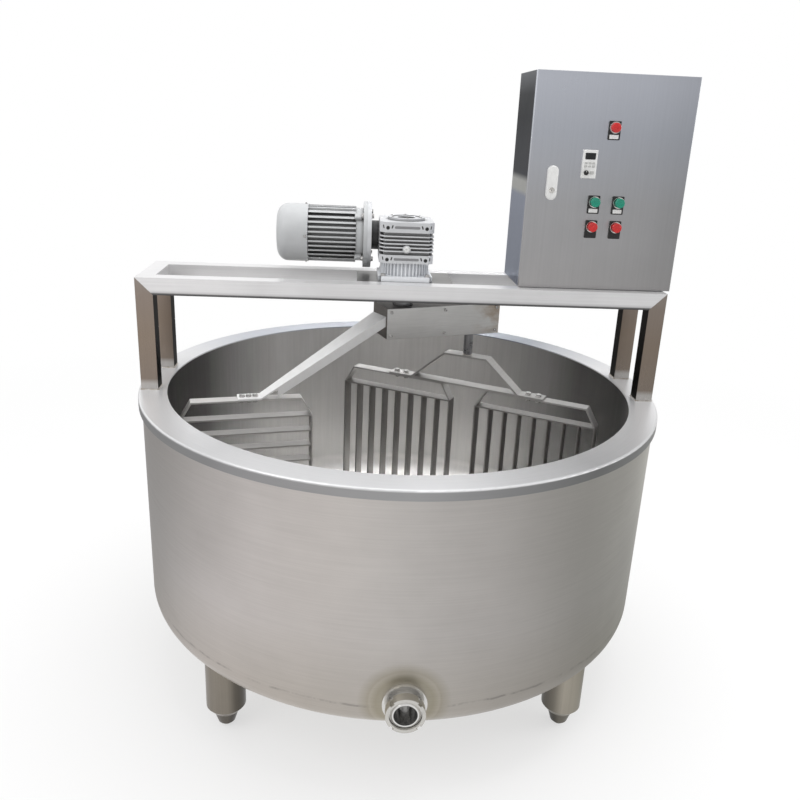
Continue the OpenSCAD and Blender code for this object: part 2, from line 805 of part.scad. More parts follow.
// Flange band with cut corners
module band(z, h) translate([0, 0, z]) linear_extrude(h) intersection() {
    square([gear_w, 2 * gear_front], center = true);
    rotate(45) square((gear_w / 2 + gear_front - band_cut) * sqrt(2), center = true);
}

module gearbox_housing() color(cast) difference() {
    union() {
        translate([-core_half, -gear_front + gear_fin_depth, gear_low])
            cube([2 * core_half, gear_front - gear_fin_depth + worm_offset, gear_h]);
        band(gear_low, band_low_h);
        band(gear_top - band_top_h, band_top_h);
        for (i = [1:gear_fins])
            band(gear_low + band_low_h + i * gear_fin_pitch - gear_fin_t / 2, gear_fin_t);
        at_motor(-gear_w / 2) cylinder(r = tunnel_r, h = gear_w + input_neck + over);
        at_motor(flange_x) cylinder(r = flange_r, h = flange_t);
    }
    translate([0, 0, gear_low - over]) cylinder(r = hub_r + run_gap, h = gear_h + 2 * over);
    translate([0, 0, gear_z - wheel_w / 2 - free_gap])
        cylinder(r = wheel_r + free_gap, h = wheel_w + 2 * free_gap);
    at_motor(-worm_room) cylinder(r = worm_r + free_gap, h = 2 * worm_room);
    at_motor(-core_half) cylinder(r = rotor_shaft_r + run_gap, h = core_half + motor_face + over);
}

module gearbox_neck() color(cast) difference() {
    union() {
        difference() {
            translate([-base_w / 2, -base_w / 2, rail_top]) cube([base_w, base_w, base_t]);
            for (a = [45:90:315]) rotate([0, 0, a])
                translate([neck_r + neck_rib_out + base_slot_w, -base_slot_w / 2, rail_top - over])
                    cube([base_w, base_slot_w, base_t + 2 * over]);
        }
        translate([0, 0, rail_top]) cylinder(r = neck_r, h = neck_h);
        for (i = [0:neck_ribs - 1]) rotate([0, 0, 360 * i / neck_ribs])
            translate([0, -neck_rib_t / 2, rail_top]) cube([neck_r + neck_rib_out, neck_rib_t, neck_h]);
    }
    translate([0, 0, rail_top - over]) cylinder(r = hub_r + run_gap, h = neck_h + 2 * over);
}

module gearbox_cover() color(cast) translate([0, 0, gear_top]) difference() {
    cylinder(r = cover_r, h = cover_t);
    translate([0, 0, -over]) cylinder(r = hub_r + run_gap, h = cover_t + 2 * over);
    translate([0, 0, cover_t / 2]) cylinder(r = (cover_r + hub_r) / 2, h = cover_t);
}

module worm_wheel() color([0.72, 0.55, 0.28]) difference() {
    union() {
        translate([0, 0, gear_z - wheel_w / 2]) cylinder(r = wheel_r, h = wheel_w);
        translate([0, 0, rail_top]) cylinder(r = hub_r, h = gear_top + cover_t / 2 - rail_top);
    }
    translate([0, 0, rail_top - over])
        cylinder(r = main_shaft_r + run_gap, h = gear_top + cover_t - rail_top);
}

// Motor

module motor_frame() color(paint) at_motor(frame_x) difference() {
    union() {
        cylinder(r = frame_core_r, h = frame_l);
        intersection() {
            cylinder(r = frame_r, h = frame_l);
            union() {
                for (i = [-side_fins:side_fins])
                    translate([i * frame_fin_pitch - frame_fin_t / 2, -frame_r, 0])
                        cube([frame_fin_t, 2 * frame_r, frame_l]);
                for (i = [-2:2]) translate([-frame_r, i * frame_fin_pitch - frame_fin_t / 2, 0])
                    cube([2 * frame_r, frame_fin_t, frame_l]);
            }
        }
    }
    translate([0, 0, -over]) cylinder(r = stator_r, h = frame_l - shield_t + over);
    cylinder(r = rotor_shaft_r + run_gap, h = frame_l + over);
}

module motor_flange() color(paint) at_motor(motor_face) difference() {
    union() {
        cylinder(r = flange_r, h = flange_t);
        cylinder(r = bell_r, h = flange_t + bell_l);
    }
    translate([0, 0, -over]) cylinder(r = rotor_shaft_r + run_gap, h = flange_t + bell_l + 2 * over);
    translate([0, 0, flange_t]) cylinder(r = stator_r, h = bell_l + over);
}

// Cap with a rounded end
module dome(r, l, edge) rotate_extrude() {
    square([r, l - edge]);
    square([r - edge, l]);
    translate([r - edge, l - edge]) circle(edge);
}

module fan_cover() color(paint) at_motor(fan_x) difference() {
    dome(fan_cover_r, fan_cover_l, fan_dome_r);
    translate([0, 0, -over])
        dome(fan_cover_r - fan_sheet, fan_cover_l - fan_sheet + over, fan_dome_r - fan_sheet);
    for (i = [-3:3]) let (half = sqrt(pow(fan_cover_r - fan_dome_r, 2) - pow(i * grille_pitch, 2)))
        translate([i * grille_pitch - grille_pitch / 4, -half, fan_cover_l - 2 * fan_sheet])
            cube([grille_pitch / 2, 2 * half, 4 * fan_sheet]);
}

module terminal_box() color(paint) difference() {
    translate([-fan_x + terminal_in, worm_offset + frame_core_r / 2, gear_z - terminal_w / 2])
        cube([terminal_w, frame_r - frame_core_r / 2 + terminal_out, terminal_w]);
    at_motor(0) cylinder(r = frame_r + seat_gap, h = 2 * fan_x);
}

module rotor() color([0.5, 0.5, 0.52]) at_motor(0) {
    translate([0, 0, -core_half + seat_gap])
        cylinder(r = rotor_shaft_r, h = core_half + fan_x + fan_w + fan_in);
    translate([0, 0, -worm_room + free_gap]) cylinder(r = worm_r, h = 2 * (worm_room - free_gap));
    translate([0, 0, frame_x]) cylinder(r = stator_r - free_gap, h = frame_l - shield_t - free_gap);
}

module cooling_fan() color(black) at_motor(fan_x + fan_in) difference() {
    union() {
        cylinder(r = fan_r, h = fan_disc_t);
        cylinder(r = fan_hub_r, h = fan_w);
        for (i = [0:fan_blades - 1]) rotate([0, 0, 360 * (i + 0.5) / fan_blades])
            translate([fan_hub_r - fan_disc_t, -fan_disc_t / 2, fan_disc_t / 2])
                cube([fan_r - fan_hub_r, fan_disc_t, fan_w - fan_disc_t]);
    }
    translate([0, 0, -over]) cylinder(r = rotor_shaft_r + run_gap, h = fan_w + 2 * over);
}

// Planetary head

module main_shaft() color(steel) translate([0, 0, case_low])
    cylinder(r = main_shaft_r, h = gear_top - case_low);

module sun_sprocket() color(cast) difference() {
    union() {
        translate([0, 0, case_mid]) cylinder(r = sleeve_r, h = plate_low - case_mid);
        translate([0, 0, plate_low - sleeve_flange_t]) cylinder(r = sleeve_flange_r, h = sleeve_flange_t);
        translate([0, 0, sprocket_low]) sprocket(sun_teeth, sun_r, main_shaft_r);
    }
    translate([0, 0, case_low]) cylinder(r = main_shaft_r + run_gap, h = rail_top - case_low);
}

module planet_sprocket() color(cast) at_planet() translate([0, 0, sprocket_low])
    sprocket(planet_teeth, planet_r, planet_shaft_r + run_gap);

module drive_chain() color(black) at_carrier() translate([0, 0, sprocket_low]) linear_extrude(sprocket_t)
    difference() {
        belt_outline(chain_in + chain_t);
        belt_outline(chain_in);
    }

// Outside of the closed case with its cover
module case_block() translate([-case_end, -case_y, case_low]) cube([case_l, case_d, case_h]);

module carrier_case() color(steel) at_carrier() difference() {
    union() {
        difference() {
            translate([-case_end, -case_y + case_cover_t, case_low])
                cube([case_l, case_d - case_cover_t, case_h]);
            translate([-case_end + case_t, -case_y, case_low + case_t])
                cube([case_l - 2 * case_t, case_d - case_t, case_h - 2 * case_t]);
        }
        for (x = [0, orbit_r]) translate([x, 0, case_low]) cylinder(r = boss_r, h = case_t + boss_h);
    }
    translate([0, 0, case_top - case_t - over]) cylinder(r = sleeve_r + free_gap, h = case_t + 2 * over);
    translate([0, 0, case_low - over]) cylinder(r = main_shaft_r + run_gap, h = case_h / 2);
    translate([orbit_r, 0, case_low - over]) cylinder(r = planet_shaft_r + run_gap, h = case_h / 2);
}

module carrier_cover() color(bright) at_carrier() translate([-case_end, -case_y, case_low])
    cube([case_l, case_cover_t, case_h]);

// Arm and fixed harp

// Side line of the arm at a depth below its top face
function arm_line(depth) = [[arm_start, case_top - arm_root - depth],
    [arm_bend, bail_top + arm_t - depth], [arm_bend + arm_tab, bail_top + arm_t - depth]];
function reversed(list) = [for (i = [len(list) - 1:-1:0]) list[i]];
module arm_band(depth) upright(2 * arm_w) polygon(concat(arm_line(0), reversed(arm_line(depth))));

// Plan of the arm, taken in from its edges
module arm_plan(inset) polygon([[arm_start, -arm_w / 2 + inset], [arm_bend, -arm_tip_w / 2 + inset],
    [arm_bend + arm_tab, -arm_tip_w / 2 + inset], [arm_bend + arm_tab, arm_tip_w / 2 - inset],
    [arm_bend, arm_tip_w / 2 - inset], [arm_start, arm_w / 2 - inset]]);

module arm() color(bright) difference() {
    at_arm() {
        intersection() {
            arm_band(arm_t);
            linear_extrude(rail_top) arm_plan(0);
        }
        intersection() {
            arm_band(arm_edge);
            linear_extrude(rail_top) difference() {
                arm_plan(0);
                arm_plan(arm_t);
                translate([edge_stop, -arm_w]) square([arm_reach + arm_tab, 2 * arm_w]);
            }
        }
    }
    at_carrier() case_block();
}

module fixed_bail() color(steel) at_arm() translate([fixed_in, 0, harp_top])
    bent_bar(fixed_l, bail_run, bail_h, bar_w, bar_t);

module fixed_harp() color(steel) at_arm() translate([fixed_in, -bar_w / 2, harp_low]) {
    pitch = (harp_h - bar_t) / (fixed_slats - 1);
    translate([0, 0, harp_h - bar_t]) cube([fixed_l, bar_w, bar_t]);
    for (x = [0, fixed_l - bar_t]) translate([x, 0, 0]) cube([bar_t, bar_w, harp_h - bar_t - seat_gap]);
    for (i = [0:fixed_slats - 2]) translate([bar_t + seat_gap, 0, i * pitch])
        cube([fixed_l - 2 * bar_t - 2 * seat_gap, bar_w, bar_t]);
}

// Planet and its harps

module planet_shaft() color(steel) at_planet() translate([0, 0, yoke_z])
    cylinder(r = planet_shaft_r, h = sprocket_low + 2 * sprocket_t - yoke_z);

module yoke() color(steel) at_planet() {
    translate([-yoke_foot, 0, bail_top + yoke_t])
        bent_bar(2 * yoke_foot, yoke_foot - yoke_top, yoke_h - yoke_t, yoke_w, yoke_t);
    translate([-yoke_bar, -yoke_w / 2, bail_top]) cube([2 * yoke_bar, yoke_w, yoke_t]);
}

module planet_bail() color(steel) translate([harp_split, 0, harp_top])
    bent_bar(harp_l, bail_run, bail_h, bar_w, bar_t);

module planet_harp() color(steel) translate([harp_split, -bar_w / 2, harp_low]) {
    pitch = (harp_l - bar_t) / (slat_count - 1);
    for (z = [0, harp_h - bar_t]) translate([0, 0, z]) cube([harp_l, bar_w, bar_t]);
    for (i = [0:slat_count - 1]) translate([i * pitch, 0, bar_t + seat_gap])
        cube([bar_t, bar_w, harp_h - 2 * bar_t - 2 * seat_gap]);
}

module inner_bail() at_planet() rotate([0, 0, 180]) planet_bail();
module inner_harp() at_planet() rotate([0, 0, 180]) planet_harp();
module outer_bail() at_planet() planet_bail();
module outer_harp() at_planet() planet_harp();

// Cabinet

module cabinet_body() color(steel) difference() {
    union() {
        difference() {
            translate([cab_x, body_y, rail_top]) cube([cab_w, body_d, cab_h]);
            translate([cab_x + cab_t, body_y + cab_t, rail_top + cab_t])
                cube([cab_w - 2 * cab_t, body_d - 2 * cab_t, cab_h - 2 * cab_t]);
        }
        translate([cab_x + lip_inset, lip_y, rail_top + lip_inset])
            cube([cab_w - 2 * lip_inset, body_y - lip_y + cab_t, cab_h - 2 * lip_inset]);
        for (z = hinge_zs) translate([hinge_x - hinge_side, hinge_y - hinge_out, z - hinge_h / 2])
            cube([hinge_side + hinge_out, body_y - hinge_y + hinge_out + cab_t, hinge_h]);
    }
    translate([cab_x + lip_inset + cab_t, lip_y - over, rail_top + lip_inset + cab_t])
        cube([cab_w - 2 * (lip_inset + cab_t), body_y - lip_y + 3 * cab_t, cab_h - 2 * (lip_inset + cab_t)]);
    for (z = hinge_zs) translate([hinge_x, hinge_y, z - hinge_h])
        cylinder(r = hinge_pin_r + run_gap, h = 2 * hinge_h);
    translate([gland_x, gland_y, rail_top - over]) cylinder(r = gland_d / 2 + seat_gap, h = cab_t + 2 * over);
}

module cable_gland() color(black) translate([gland_x, gland_y, rail_top]) difference() {
    union() {
        translate([0, 0, -gland_d]) cylinder(r = 0.75 * gland_d, h = gland_d, $fn = 6);
        cylinder(r = gland_d / 2, h = cab_t + gland_d / 2);
        translate([0, 0, cab_t]) cylinder(r = 0.75 * gland_d, h = gland_d / 3, $fn = 6);
    }
    translate([0, 0, -gland_d - over]) cylinder(r = gland_d / 4, h = 2 * gland_d);
}

module hinge_pins() color(bright) for (z = hinge_zs) translate([hinge_x, hinge_y, z - 1.5 * hinge_h])
    cylinder(r = hinge_pin_r, h = 3 * hinge_h);

module mounting_panel() color([0.85, 0.72, 0.35]) {
    translate([cab_x + (cab_w - panel_w) / 2, panel_y, rail_top + (cab_h - panel_h) / 2])
        cube([panel_w, panel_t, panel_h]);
    for (x = [-1, 1], z = [-1, 1])
        translate([cab_x + cab_w / 2 + x * (panel_w / 2 - stud_inset), panel_y,
            rail_top + cab_h / 2 + z * (panel_h / 2 - stud_inset)])
            rotate([-90, 0, 0]) cylinder(r = stud_r, h = panel_gap);
    at_din(-din_l / 2) linear_extrude(din_l) for (m = [0, 1]) mirror([0, m])
        polygon([[over, 0], [over, din_in], [din_t - din_d, din_in], [din_t - din_d, din_w / 2],
            [-din_d, din_w / 2], [-din_d, din_in - din_t], [-din_t, din_in - din_t], [-din_t, 0]]);
}

// Section plane of the contactors' rail: local X runs into the panel, local Y up, local Z along the rail
module at_din(x) translate([cab_x + cab_w / 2 + x, panel_y, din_z]) rotate([90, 0, 90]) children();

module inverter() color([0.25, 0.26, 0.28])
    translate([cab_x + cab_w / 2 - inverter_w, panel_y - inverter_d, rail_top + cab_h / 2]) {
        translate([0, 0, wiring_h]) cube([inverter_w, inverter_d - sink_d, inverter_h - wiring_h]);
        translate([0, wiring_step, 0]) cube([inverter_w, inverter_d - sink_d - wiring_step, inverter_h]);
        for (x = [0:sink_pitch:inverter_w - sink_pitch / 2])
            translate([x, wiring_step, 0]) cube([sink_pitch / 3, inverter_d - wiring_step, inverter_h]);
    }

module contactors() color([0.9, 0.9, 0.88]) for (i = [-1.5:1.5])
    at_din(i * contactor_pitch - contactor_w / 2) linear_extrude(contactor_w) {
        translate([coil_d - din_d - contactor_d, -contactor_h / 2])
            square([contactor_d - coil_d, contactor_h]);
        translate([-din_d - contactor_d, -coil_h / 2]) square([contactor_d - over, coil_h]);
    }

module cabinet_door() color(steel) difference() {
    union() {
        difference() {
            at_door(0, door_rise) cube([cab_w, door_d, cab_h - door_rise]);
            at_door(cab_t, door_rise + cab_t, cab_t)
                cube([cab_w - 2 * cab_t, door_d, cab_h - door_rise - 2 * cab_t]);
        }
        for (z = hinge_zs, s = [-1, 1])
            translate([hinge_x - hinge_side, cab_front, z + s * (hinge_h + free_gap) - hinge_h / 2])
                cube([hinge_side + hinge_out, hinge_front + hinge_out, hinge_h]);
    }
    for (z = hinge_zs) {
        translate([hinge_x, hinge_y, z - 2 * hinge_h]) cylinder(r = hinge_pin_r + run_gap, h = 4 * hinge_h);
        translate([hinge_x - hinge_side, cab_front + cab_t, z - hinge_h / 2 - free_gap])
            cube([2 * hinge_side + over, door_d, hinge_h + 2 * free_gap]);
    }
    for (x = button_xs, z = [start_z, stop_z]) door_bar(x, z, device_d / 2 + seat_gap, -over, door_d);
    door_bar(lamp_x, lamp_z, device_d / 2 + seat_gap, -over, door_d);
    door_bar(lock_x, pivot_z, spindle_r + run_gap, -over, door_d);
    at_door(keypad_x - keypad_in_w / 2, keypad_z - keypad_in_h / 2, -over)
        cube([keypad_in_w, door_d, keypad_in_h]);
}

// Frame-shaped strip round the sealing lip
module door_seal() color(black) difference() {
    at_door(lip_inset - seal_w / 2, lip_inset - seal_w / 2, cab_t)
        cube([cab_w - 2 * lip_inset + seal_w, seal_t, cab_h - 2 * lip_inset + seal_w]);
    at_door(lip_inset + seal_w / 2, lip_inset + seal_w / 2, cab_t - over)
        cube([cab_w - 2 * lip_inset - seal_w, seal_t + 2 * over, cab_h - 2 * lip_inset - seal_w]);
}

// Door devices

module keypad() color([0.92, 0.92, 0.90]) difference() {
    union() {
        at_door(keypad_x - keypad_w / 2, keypad_z - keypad_h / 2, -keypad_out)
            cube([keypad_w, keypad_out, keypad_h]);
        at_door(keypad_x - keypad_in_w / 2 + seat_gap, keypad_z - keypad_in_h / 2 + seat_gap, -over)
            cube([keypad_in_w - 2 * seat_gap, keypad_in + over, keypad_in_h - 2 * seat_gap]);
    }
    door_bar(knob_x, knob_z, knob_shaft_r + run_gap, -keypad_out - over, keypad_in / 2);
}

module speed_knob() color(black) {
    door_bar(knob_x, knob_z, knob_d / 2, -keypad_out - knob_out, -keypad_out - seat_gap);
    door_bar(knob_x, knob_z, knob_shaft_r, -keypad_out - over, keypad_in / 2 - seat_gap);
}

module bezel(x, z) difference() {
    union() {
        door_bar(x, z, bezel_d / 2, -bezel_out, -plate_t + over / 2);
        door_bar(x, z, device_d / 2, -bezel_out, device_in);
        at_door(x - plate_w / 2, z + plate_w / 2 - plate_h, -plate_t) cube([plate_w, plate_t, plate_h]);
    }
    door_bar(x, z, plunger_r + run_gap, -bezel_out - over, device_in + over);
}

module button_bezels() color([0.75, 0.75, 0.76]) {
    for (x = button_xs, z = [start_z, stop_z]) bezel(x, z);
    bezel(lamp_x, lamp_z);
}

// Cap in front of a bezel, with a plunger in the bezel's bore
module plunger(x, z, back) {
    door_bar(x, z, cap_d / 2, -back - cap_out, -back);
    door_bar(x, z, plunger_r, -back - cap_out / 2, device_in - button_travel);
}

module pilot_lamp() color([0.80, 0.10, 0.10]) plunger(lamp_x, lamp_z, bezel_out + seat_gap);
module start_button_left() color([0.05, 0.45, 0.35]) plunger(button_xs[0], start_z, cap_back);
module start_button_right() color([0.05, 0.45, 0.35]) plunger(button_xs[1], start_z, cap_back);
module stop_button_left() color([0.75, 0.12, 0.12]) plunger(button_xs[0], stop_z, cap_back);
module stop_button_right() color([0.75, 0.12, 0.12]) plunger(button_xs[1], stop_z, cap_back);

module lock_handle() color([0.9, 0.9, 0.92]) {
    at_door(lock_x, lock_z, -seat_gap) rotate([90, 0, 0]) linear_extrude(lock_out - seat_gap) {
        for (s = [-1, 1]) translate([0, s * (lock_h - lock_w) / 2]) circle(lock_w / 2);
        square([lock_w, lock_h - lock_w], center = true);
    }
    door_bar(lock_x, pivot_z, spindle_r, -lock_out / 2, door_d + cam_t);
    at_door(lock_x - spindle_r, pivot_z - cam_l, door_d) cube([2 * spindle_r, cam_t, cam_l + spindle_r]);
}

outer_shell();
inner_tank();
heating_jacket();
insulation();
rim_ring();
drain_pipe();
union_nut();
jacket_ports();
legs();
feet();
front_rail();
rear_rail();
post_front_left();
post_front_right();
post_rear_left();
post_rear_right();
cross_tubes();
drive_plate();
gearbox_housing();
gearbox_neck();
gearbox_cover();
motor_frame();
motor_flange();
fan_cover();
terminal_box();
rotor();
cooling_fan();
worm_wheel();
main_shaft();
sun_sprocket();
planet_sprocket();
drive_chain();
carrier_case();
carrier_cover();
arm();
fixed_bail();
fixed_harp();
planet_shaft();
yoke();
inner_bail();
inner_harp();
outer_bail();
outer_harp();
cabinet_body();
mounting_panel();
inverter();
contactors();
cable_gland();
hinge_pins();
cabinet_door();
door_seal();
keypad();
speed_knob();
button_bezels();
pilot_lamp();
start_button_left();
start_button_right();
stop_button_left();
stop_button_right();
lock_handle();
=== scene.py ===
import json
import math

import bmesh
import bpy
from mathutils import Matrix, Vector


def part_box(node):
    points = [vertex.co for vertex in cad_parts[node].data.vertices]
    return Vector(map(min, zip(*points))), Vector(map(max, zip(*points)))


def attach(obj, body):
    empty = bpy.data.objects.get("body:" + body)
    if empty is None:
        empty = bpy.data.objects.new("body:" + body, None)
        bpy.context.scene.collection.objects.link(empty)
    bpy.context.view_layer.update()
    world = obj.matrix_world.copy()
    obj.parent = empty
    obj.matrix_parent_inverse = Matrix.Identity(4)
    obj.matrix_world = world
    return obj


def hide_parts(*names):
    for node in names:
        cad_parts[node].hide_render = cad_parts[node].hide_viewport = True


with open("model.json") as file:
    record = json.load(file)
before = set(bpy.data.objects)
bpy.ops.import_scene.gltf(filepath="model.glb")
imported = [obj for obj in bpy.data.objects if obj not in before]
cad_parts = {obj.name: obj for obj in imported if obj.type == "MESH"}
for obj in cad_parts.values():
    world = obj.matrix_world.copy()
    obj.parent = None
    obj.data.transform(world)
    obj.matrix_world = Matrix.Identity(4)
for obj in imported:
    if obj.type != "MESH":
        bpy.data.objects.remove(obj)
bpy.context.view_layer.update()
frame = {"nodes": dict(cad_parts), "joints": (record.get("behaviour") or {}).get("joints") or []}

# Lengths are in metres, and in millimetres where a name or a docstring says so.
# X runs along the bridge, -Y to the drain, Z up from the floor.
MM = 0.001
TURN = 2 * math.pi
UP = (0, 0, 1)
DOWN = (0, 0, -1)
FRONT = (0, -1, 0)
LEFT = (-1, 0, 0)
RIGHT = (1, 0, 0)

# Places, directions and sizes that several pieces share, from the frame where it has them
places = {joint["name"]: Vector(joint.get("pos_m", (0, 0, 0))) for joint in frame["joints"]}
PLANET = places["planet_spin"]
CARRIER_ANGLE = math.atan2(PLANET.y, PLANET.x)
ARM_ANGLE = CARRIER_ANGLE + math.pi - math.radians(7)
HARP_ANGLE = math.radians(-28.5)
CLAMP_TOP = 0.884
CLAMP_GRIP = 11 * MM
MOTOR_Y = places["motor_spin"].y
MOTOR_Z = places["motor_spin"].z
FLANGE_JOINT = -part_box("motor_flange")[1].x
FLANGE_PLATE = 12 * MM
RIM_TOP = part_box("rim_ring")[1].z
RAIL_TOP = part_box("front_rail")[1].z
DOOR_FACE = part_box("cabinet_door")[0].y
TANK_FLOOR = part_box("inner_tank")[0].z
SEAM_Z = 0.295
DRAIN_Z = places["nut_spin"].z
DRAIN_BORE_R = 30 * MM


# Camera

CAMERA_PLACE = Vector((-0.1551, -2.4641, 1.7129))
CAMERA_YAW = math.radians(3.732)
CAMERA_PITCH = math.radians(19.324)
CAMERA_ROLL = math.radians(2.566)
CAMERA_LENS = 36.344
CAMERA_SENSOR = 36


def make_camera():
    """The photograph's view: looking along +Y and down, with a small roll."""
    forward = Vector((math.sin(CAMERA_YAW) * math.cos(CAMERA_PITCH),
                      math.cos(CAMERA_YAW) * math.cos(CAMERA_PITCH), -math.sin(CAMERA_PITCH)))
    level = Vector((math.cos(CAMERA_YAW), -math.sin(CAMERA_YAW), 0))
    upright = level.cross(forward)
    right = level * math.cos(CAMERA_ROLL) + upright * math.sin(CAMERA_ROLL)
    up = right.cross(forward)
    data = bpy.data.cameras.new("camera")
    data.lens = CAMERA_LENS
    data.sensor_width = CAMERA_SENSOR
    camera = bpy.data.objects.new("camera", data)
    rotation = Matrix((right, up, -forward)).transposed().to_4x4()
    camera.matrix_world = Matrix.Translation(CAMERA_PLACE) @ rotation
    bpy.context.scene.collection.objects.link(camera)
    bpy.context.scene.camera = camera


# Shader nodes

def new_material(name):
    material = bpy.data.materials.new(name)
    material.use_nodes = True
    return material, material.node_tree, material.node_tree.nodes["Principled BSDF"]


def set_inputs(tree, node, inputs):
    """Gives a node's inputs values, or links them to the outputs of other nodes."""
    for key, value in inputs.items():
        if isinstance(value, bpy.types.NodeSocket):
            tree.links.new(value, node.inputs[key])
        else:
            node.inputs[key].default_value = value


def add_node(tree, kind, inputs=None, **settings):
    made = tree.nodes.new(kind)
    for key, value in settings.items():
        setattr(made, key, value)
    set_inputs(tree, made, inputs or {})
    return made


def calculate(tree, operation, *values, **settings):
    inputs = dict(enumerate(values))
    return add_node(tree, "ShaderNodeMath", inputs, operation=operation, **settings).outputs[0]


def calculate_vector(tree, operation, *values):
    made = add_node(tree, "ShaderNodeVectorMath", dict(enumerate(values)), operation=operation)
    return made.outputs["Value" if operation == "LENGTH" else "Vector"]


def axis_of(tree, axis, vector):
    return add_node(tree, "ShaderNodeSeparateXYZ", {"Vector": vector}).outputs[axis]


def local_place(tree):
    return add_node(tree, "ShaderNodeTexCoord").outputs["Object"]


def along(tree, axis, source="Object"):
    """Place along an axis in object space, or from 0 to 1 over the piece with Generated, or how far a face
    looks along the axis with Normal."""
    return axis_of(tree, axis, add_node(tree, "ShaderNodeTexCoord").outputs[source])


def unrolled(tree):
    """Object space unrolled about Z: angle from the front, distance from the axis, and height."""
    place = local_place(tree)
    ahead = calculate(tree, "MULTIPLY", axis_of(tree, "Y", place), -1.0)
    angle = calculate(tree, "ARCTAN2", axis_of(tree, "X", place), ahead)
    reach = calculate_vector(tree, "LENGTH", calculate_vector(tree, "MULTIPLY", place, (1, 1, 0)))
    inputs = {"X": angle, "Y": reach, "Z": axis_of(tree, "Z", place)}
    return add_node(tree, "ShaderNodeCombineXYZ", inputs).outputs["Vector"]


def noise(tree, scale, detail, roughness=0.55, place=None):
    """Noise with its own scale along each axis, in object space unless a place is given."""
    place = place or local_place(tree)
    stretched = add_node(tree, "ShaderNodeMapping", {"Vector": place, "Scale": scale}).outputs["Vector"]
    inputs = {"Vector": stretched, "Scale": 1.0, "Detail": detail, "Roughness": roughness}
    return add_node(tree, "ShaderNodeTexNoise", inputs).outputs["Fac"]


def between(tree, value, low, high, to_low, to_high):
    inputs = {"Value": value, "From Min": low, "From Max": high, "To Min": to_low, "To Max": to_high}
    return add_node(tree, "ShaderNodeMapRange", inputs).outputs["Result"]


def blend(tree, a, b, share):
    """Weighted mean of two values."""
    return calculate(tree, "MULTIPLY_ADD", b, share, calculate(tree, "MULTIPLY", a, 1 - share))


def ramp(tree, value, stops):
    """Colours at (place, colour) stops along a value."""
    made = add_node(tree, "ShaderNodeValToRGB", {"Fac": value})
    ends = made.color_ramp.elements
    ends[0].position, ends[0].color = stops[0][0], (*stops[0][1], 1)
    ends[1].position, ends[1].color = stops[-1][0], (*stops[-1][1], 1)
    for place, colour in stops[1:-1]:
        ends.new(place).color = (*colour, 1)
    return made.outputs["Color"]


# Noise mostly stays between these two values
NOISE_LOW = 0.3
NOISE_HIGH = 0.7


def tones(tree, value, dark, light):
    """Colours that follow a noise."""
    return ramp(tree, value, [(NOISE_LOW, dark), (NOISE_HIGH, light)])


def levels(tree, value, low, high):
    """Levels that follow a noise."""
    return between(tree, value, NOISE_LOW, NOISE_HIGH, low, high)


def mix_colours(tree, share, a, b, way="MIX"):
    inputs = {"Factor": share, 6: a, 7: b}
    return add_node(tree, "ShaderNodeMix", inputs, data_type="RGBA", blend_type=way).outputs[2]


def multiply(tree, a, b):
    return mix_colours(tree, 1.0, a, b, "MULTIPLY")


def shaded(tree, colour, shade):
    """A colour times the factors that a shade function gives, if there is one."""
    return multiply(tree, colour, shade(tree)) if shade else colour


def grey(level):
    return (level, level, level)


def rough_bump(tree, shader, height, strength, depth, edge):
    """Fine relief, over edges that look slightly rounded."""
    inputs = {"Height": height, "Strength": strength, "Distance": depth}
    if edge:
        inputs["Normal"] = add_node(tree, "ShaderNodeBevel", {"Radius": edge}, samples=4).outputs["Normal"]
    tree.links.new(add_node(tree, "ShaderNodeBump", inputs).outputs["Normal"], shader.inputs["Normal"])


# Shades: colour factors that vary over a piece

WHITE = (1, 1, 1, 1)
# Painted reflection on the door: bluish at the top, warmer below
DOOR_REFLECTION_STOPS = [(0.0, (0.465, 0.455, 0.455)), (0.4, (0.495, 0.495, 0.508)), (0.73, (0.58, 0.605, 0.665)),
              (0.96, (0.71, 0.737, 0.815))]
# Painted reflection on the cabinet's left side, with a painted highlight line at its middle
SIDE_REFLECTION_STOPS = [(0.0, (0.55, 0.59, 0.69)), (0.43, (0.59, 0.63, 0.74)), (0.455, (0.84, 0.84, 0.81)),
              (0.50, (0.84, 0.84, 0.81)), (0.53, (0.16, 0.165, 0.18)), (0.8, (0.10, 0.103, 0.11)),
              (0.9, (0.12, 0.123, 0.13)), (1.0, (0.34, 0.35, 0.37))]
# Painted light on the arm: brighter towards its lower end
ARM_PAINTED_LIGHT_STOPS = [(0.0, grey(1.0)), (0.5, grey(0.92)), (1.0, grey(0.80))]
# Painted shade: the rails darken along their bottom edge
RAIL_PAINTED_SHADE_STOPS = [(0.0, grey(0.10)), (0.09, grey(0.16)), (0.15, grey(0.75)), (0.3, grey(1.0))]


def by_height(stops):
    """Shade by the height within a piece, from 0 to 1."""
    return lambda tree: ramp(tree, along(tree, "Z", "Generated"), stops)


def from_drain(tree):
    """Distance from the drain's axis."""
    off = calculate_vector(tree, "SUBTRACT", local_place(tree), (0, 0, DRAIN_Z))
    return calculate_vector(tree, "LENGTH", calculate_vector(tree, "MULTIPLY", off, (1, 0, 1)))


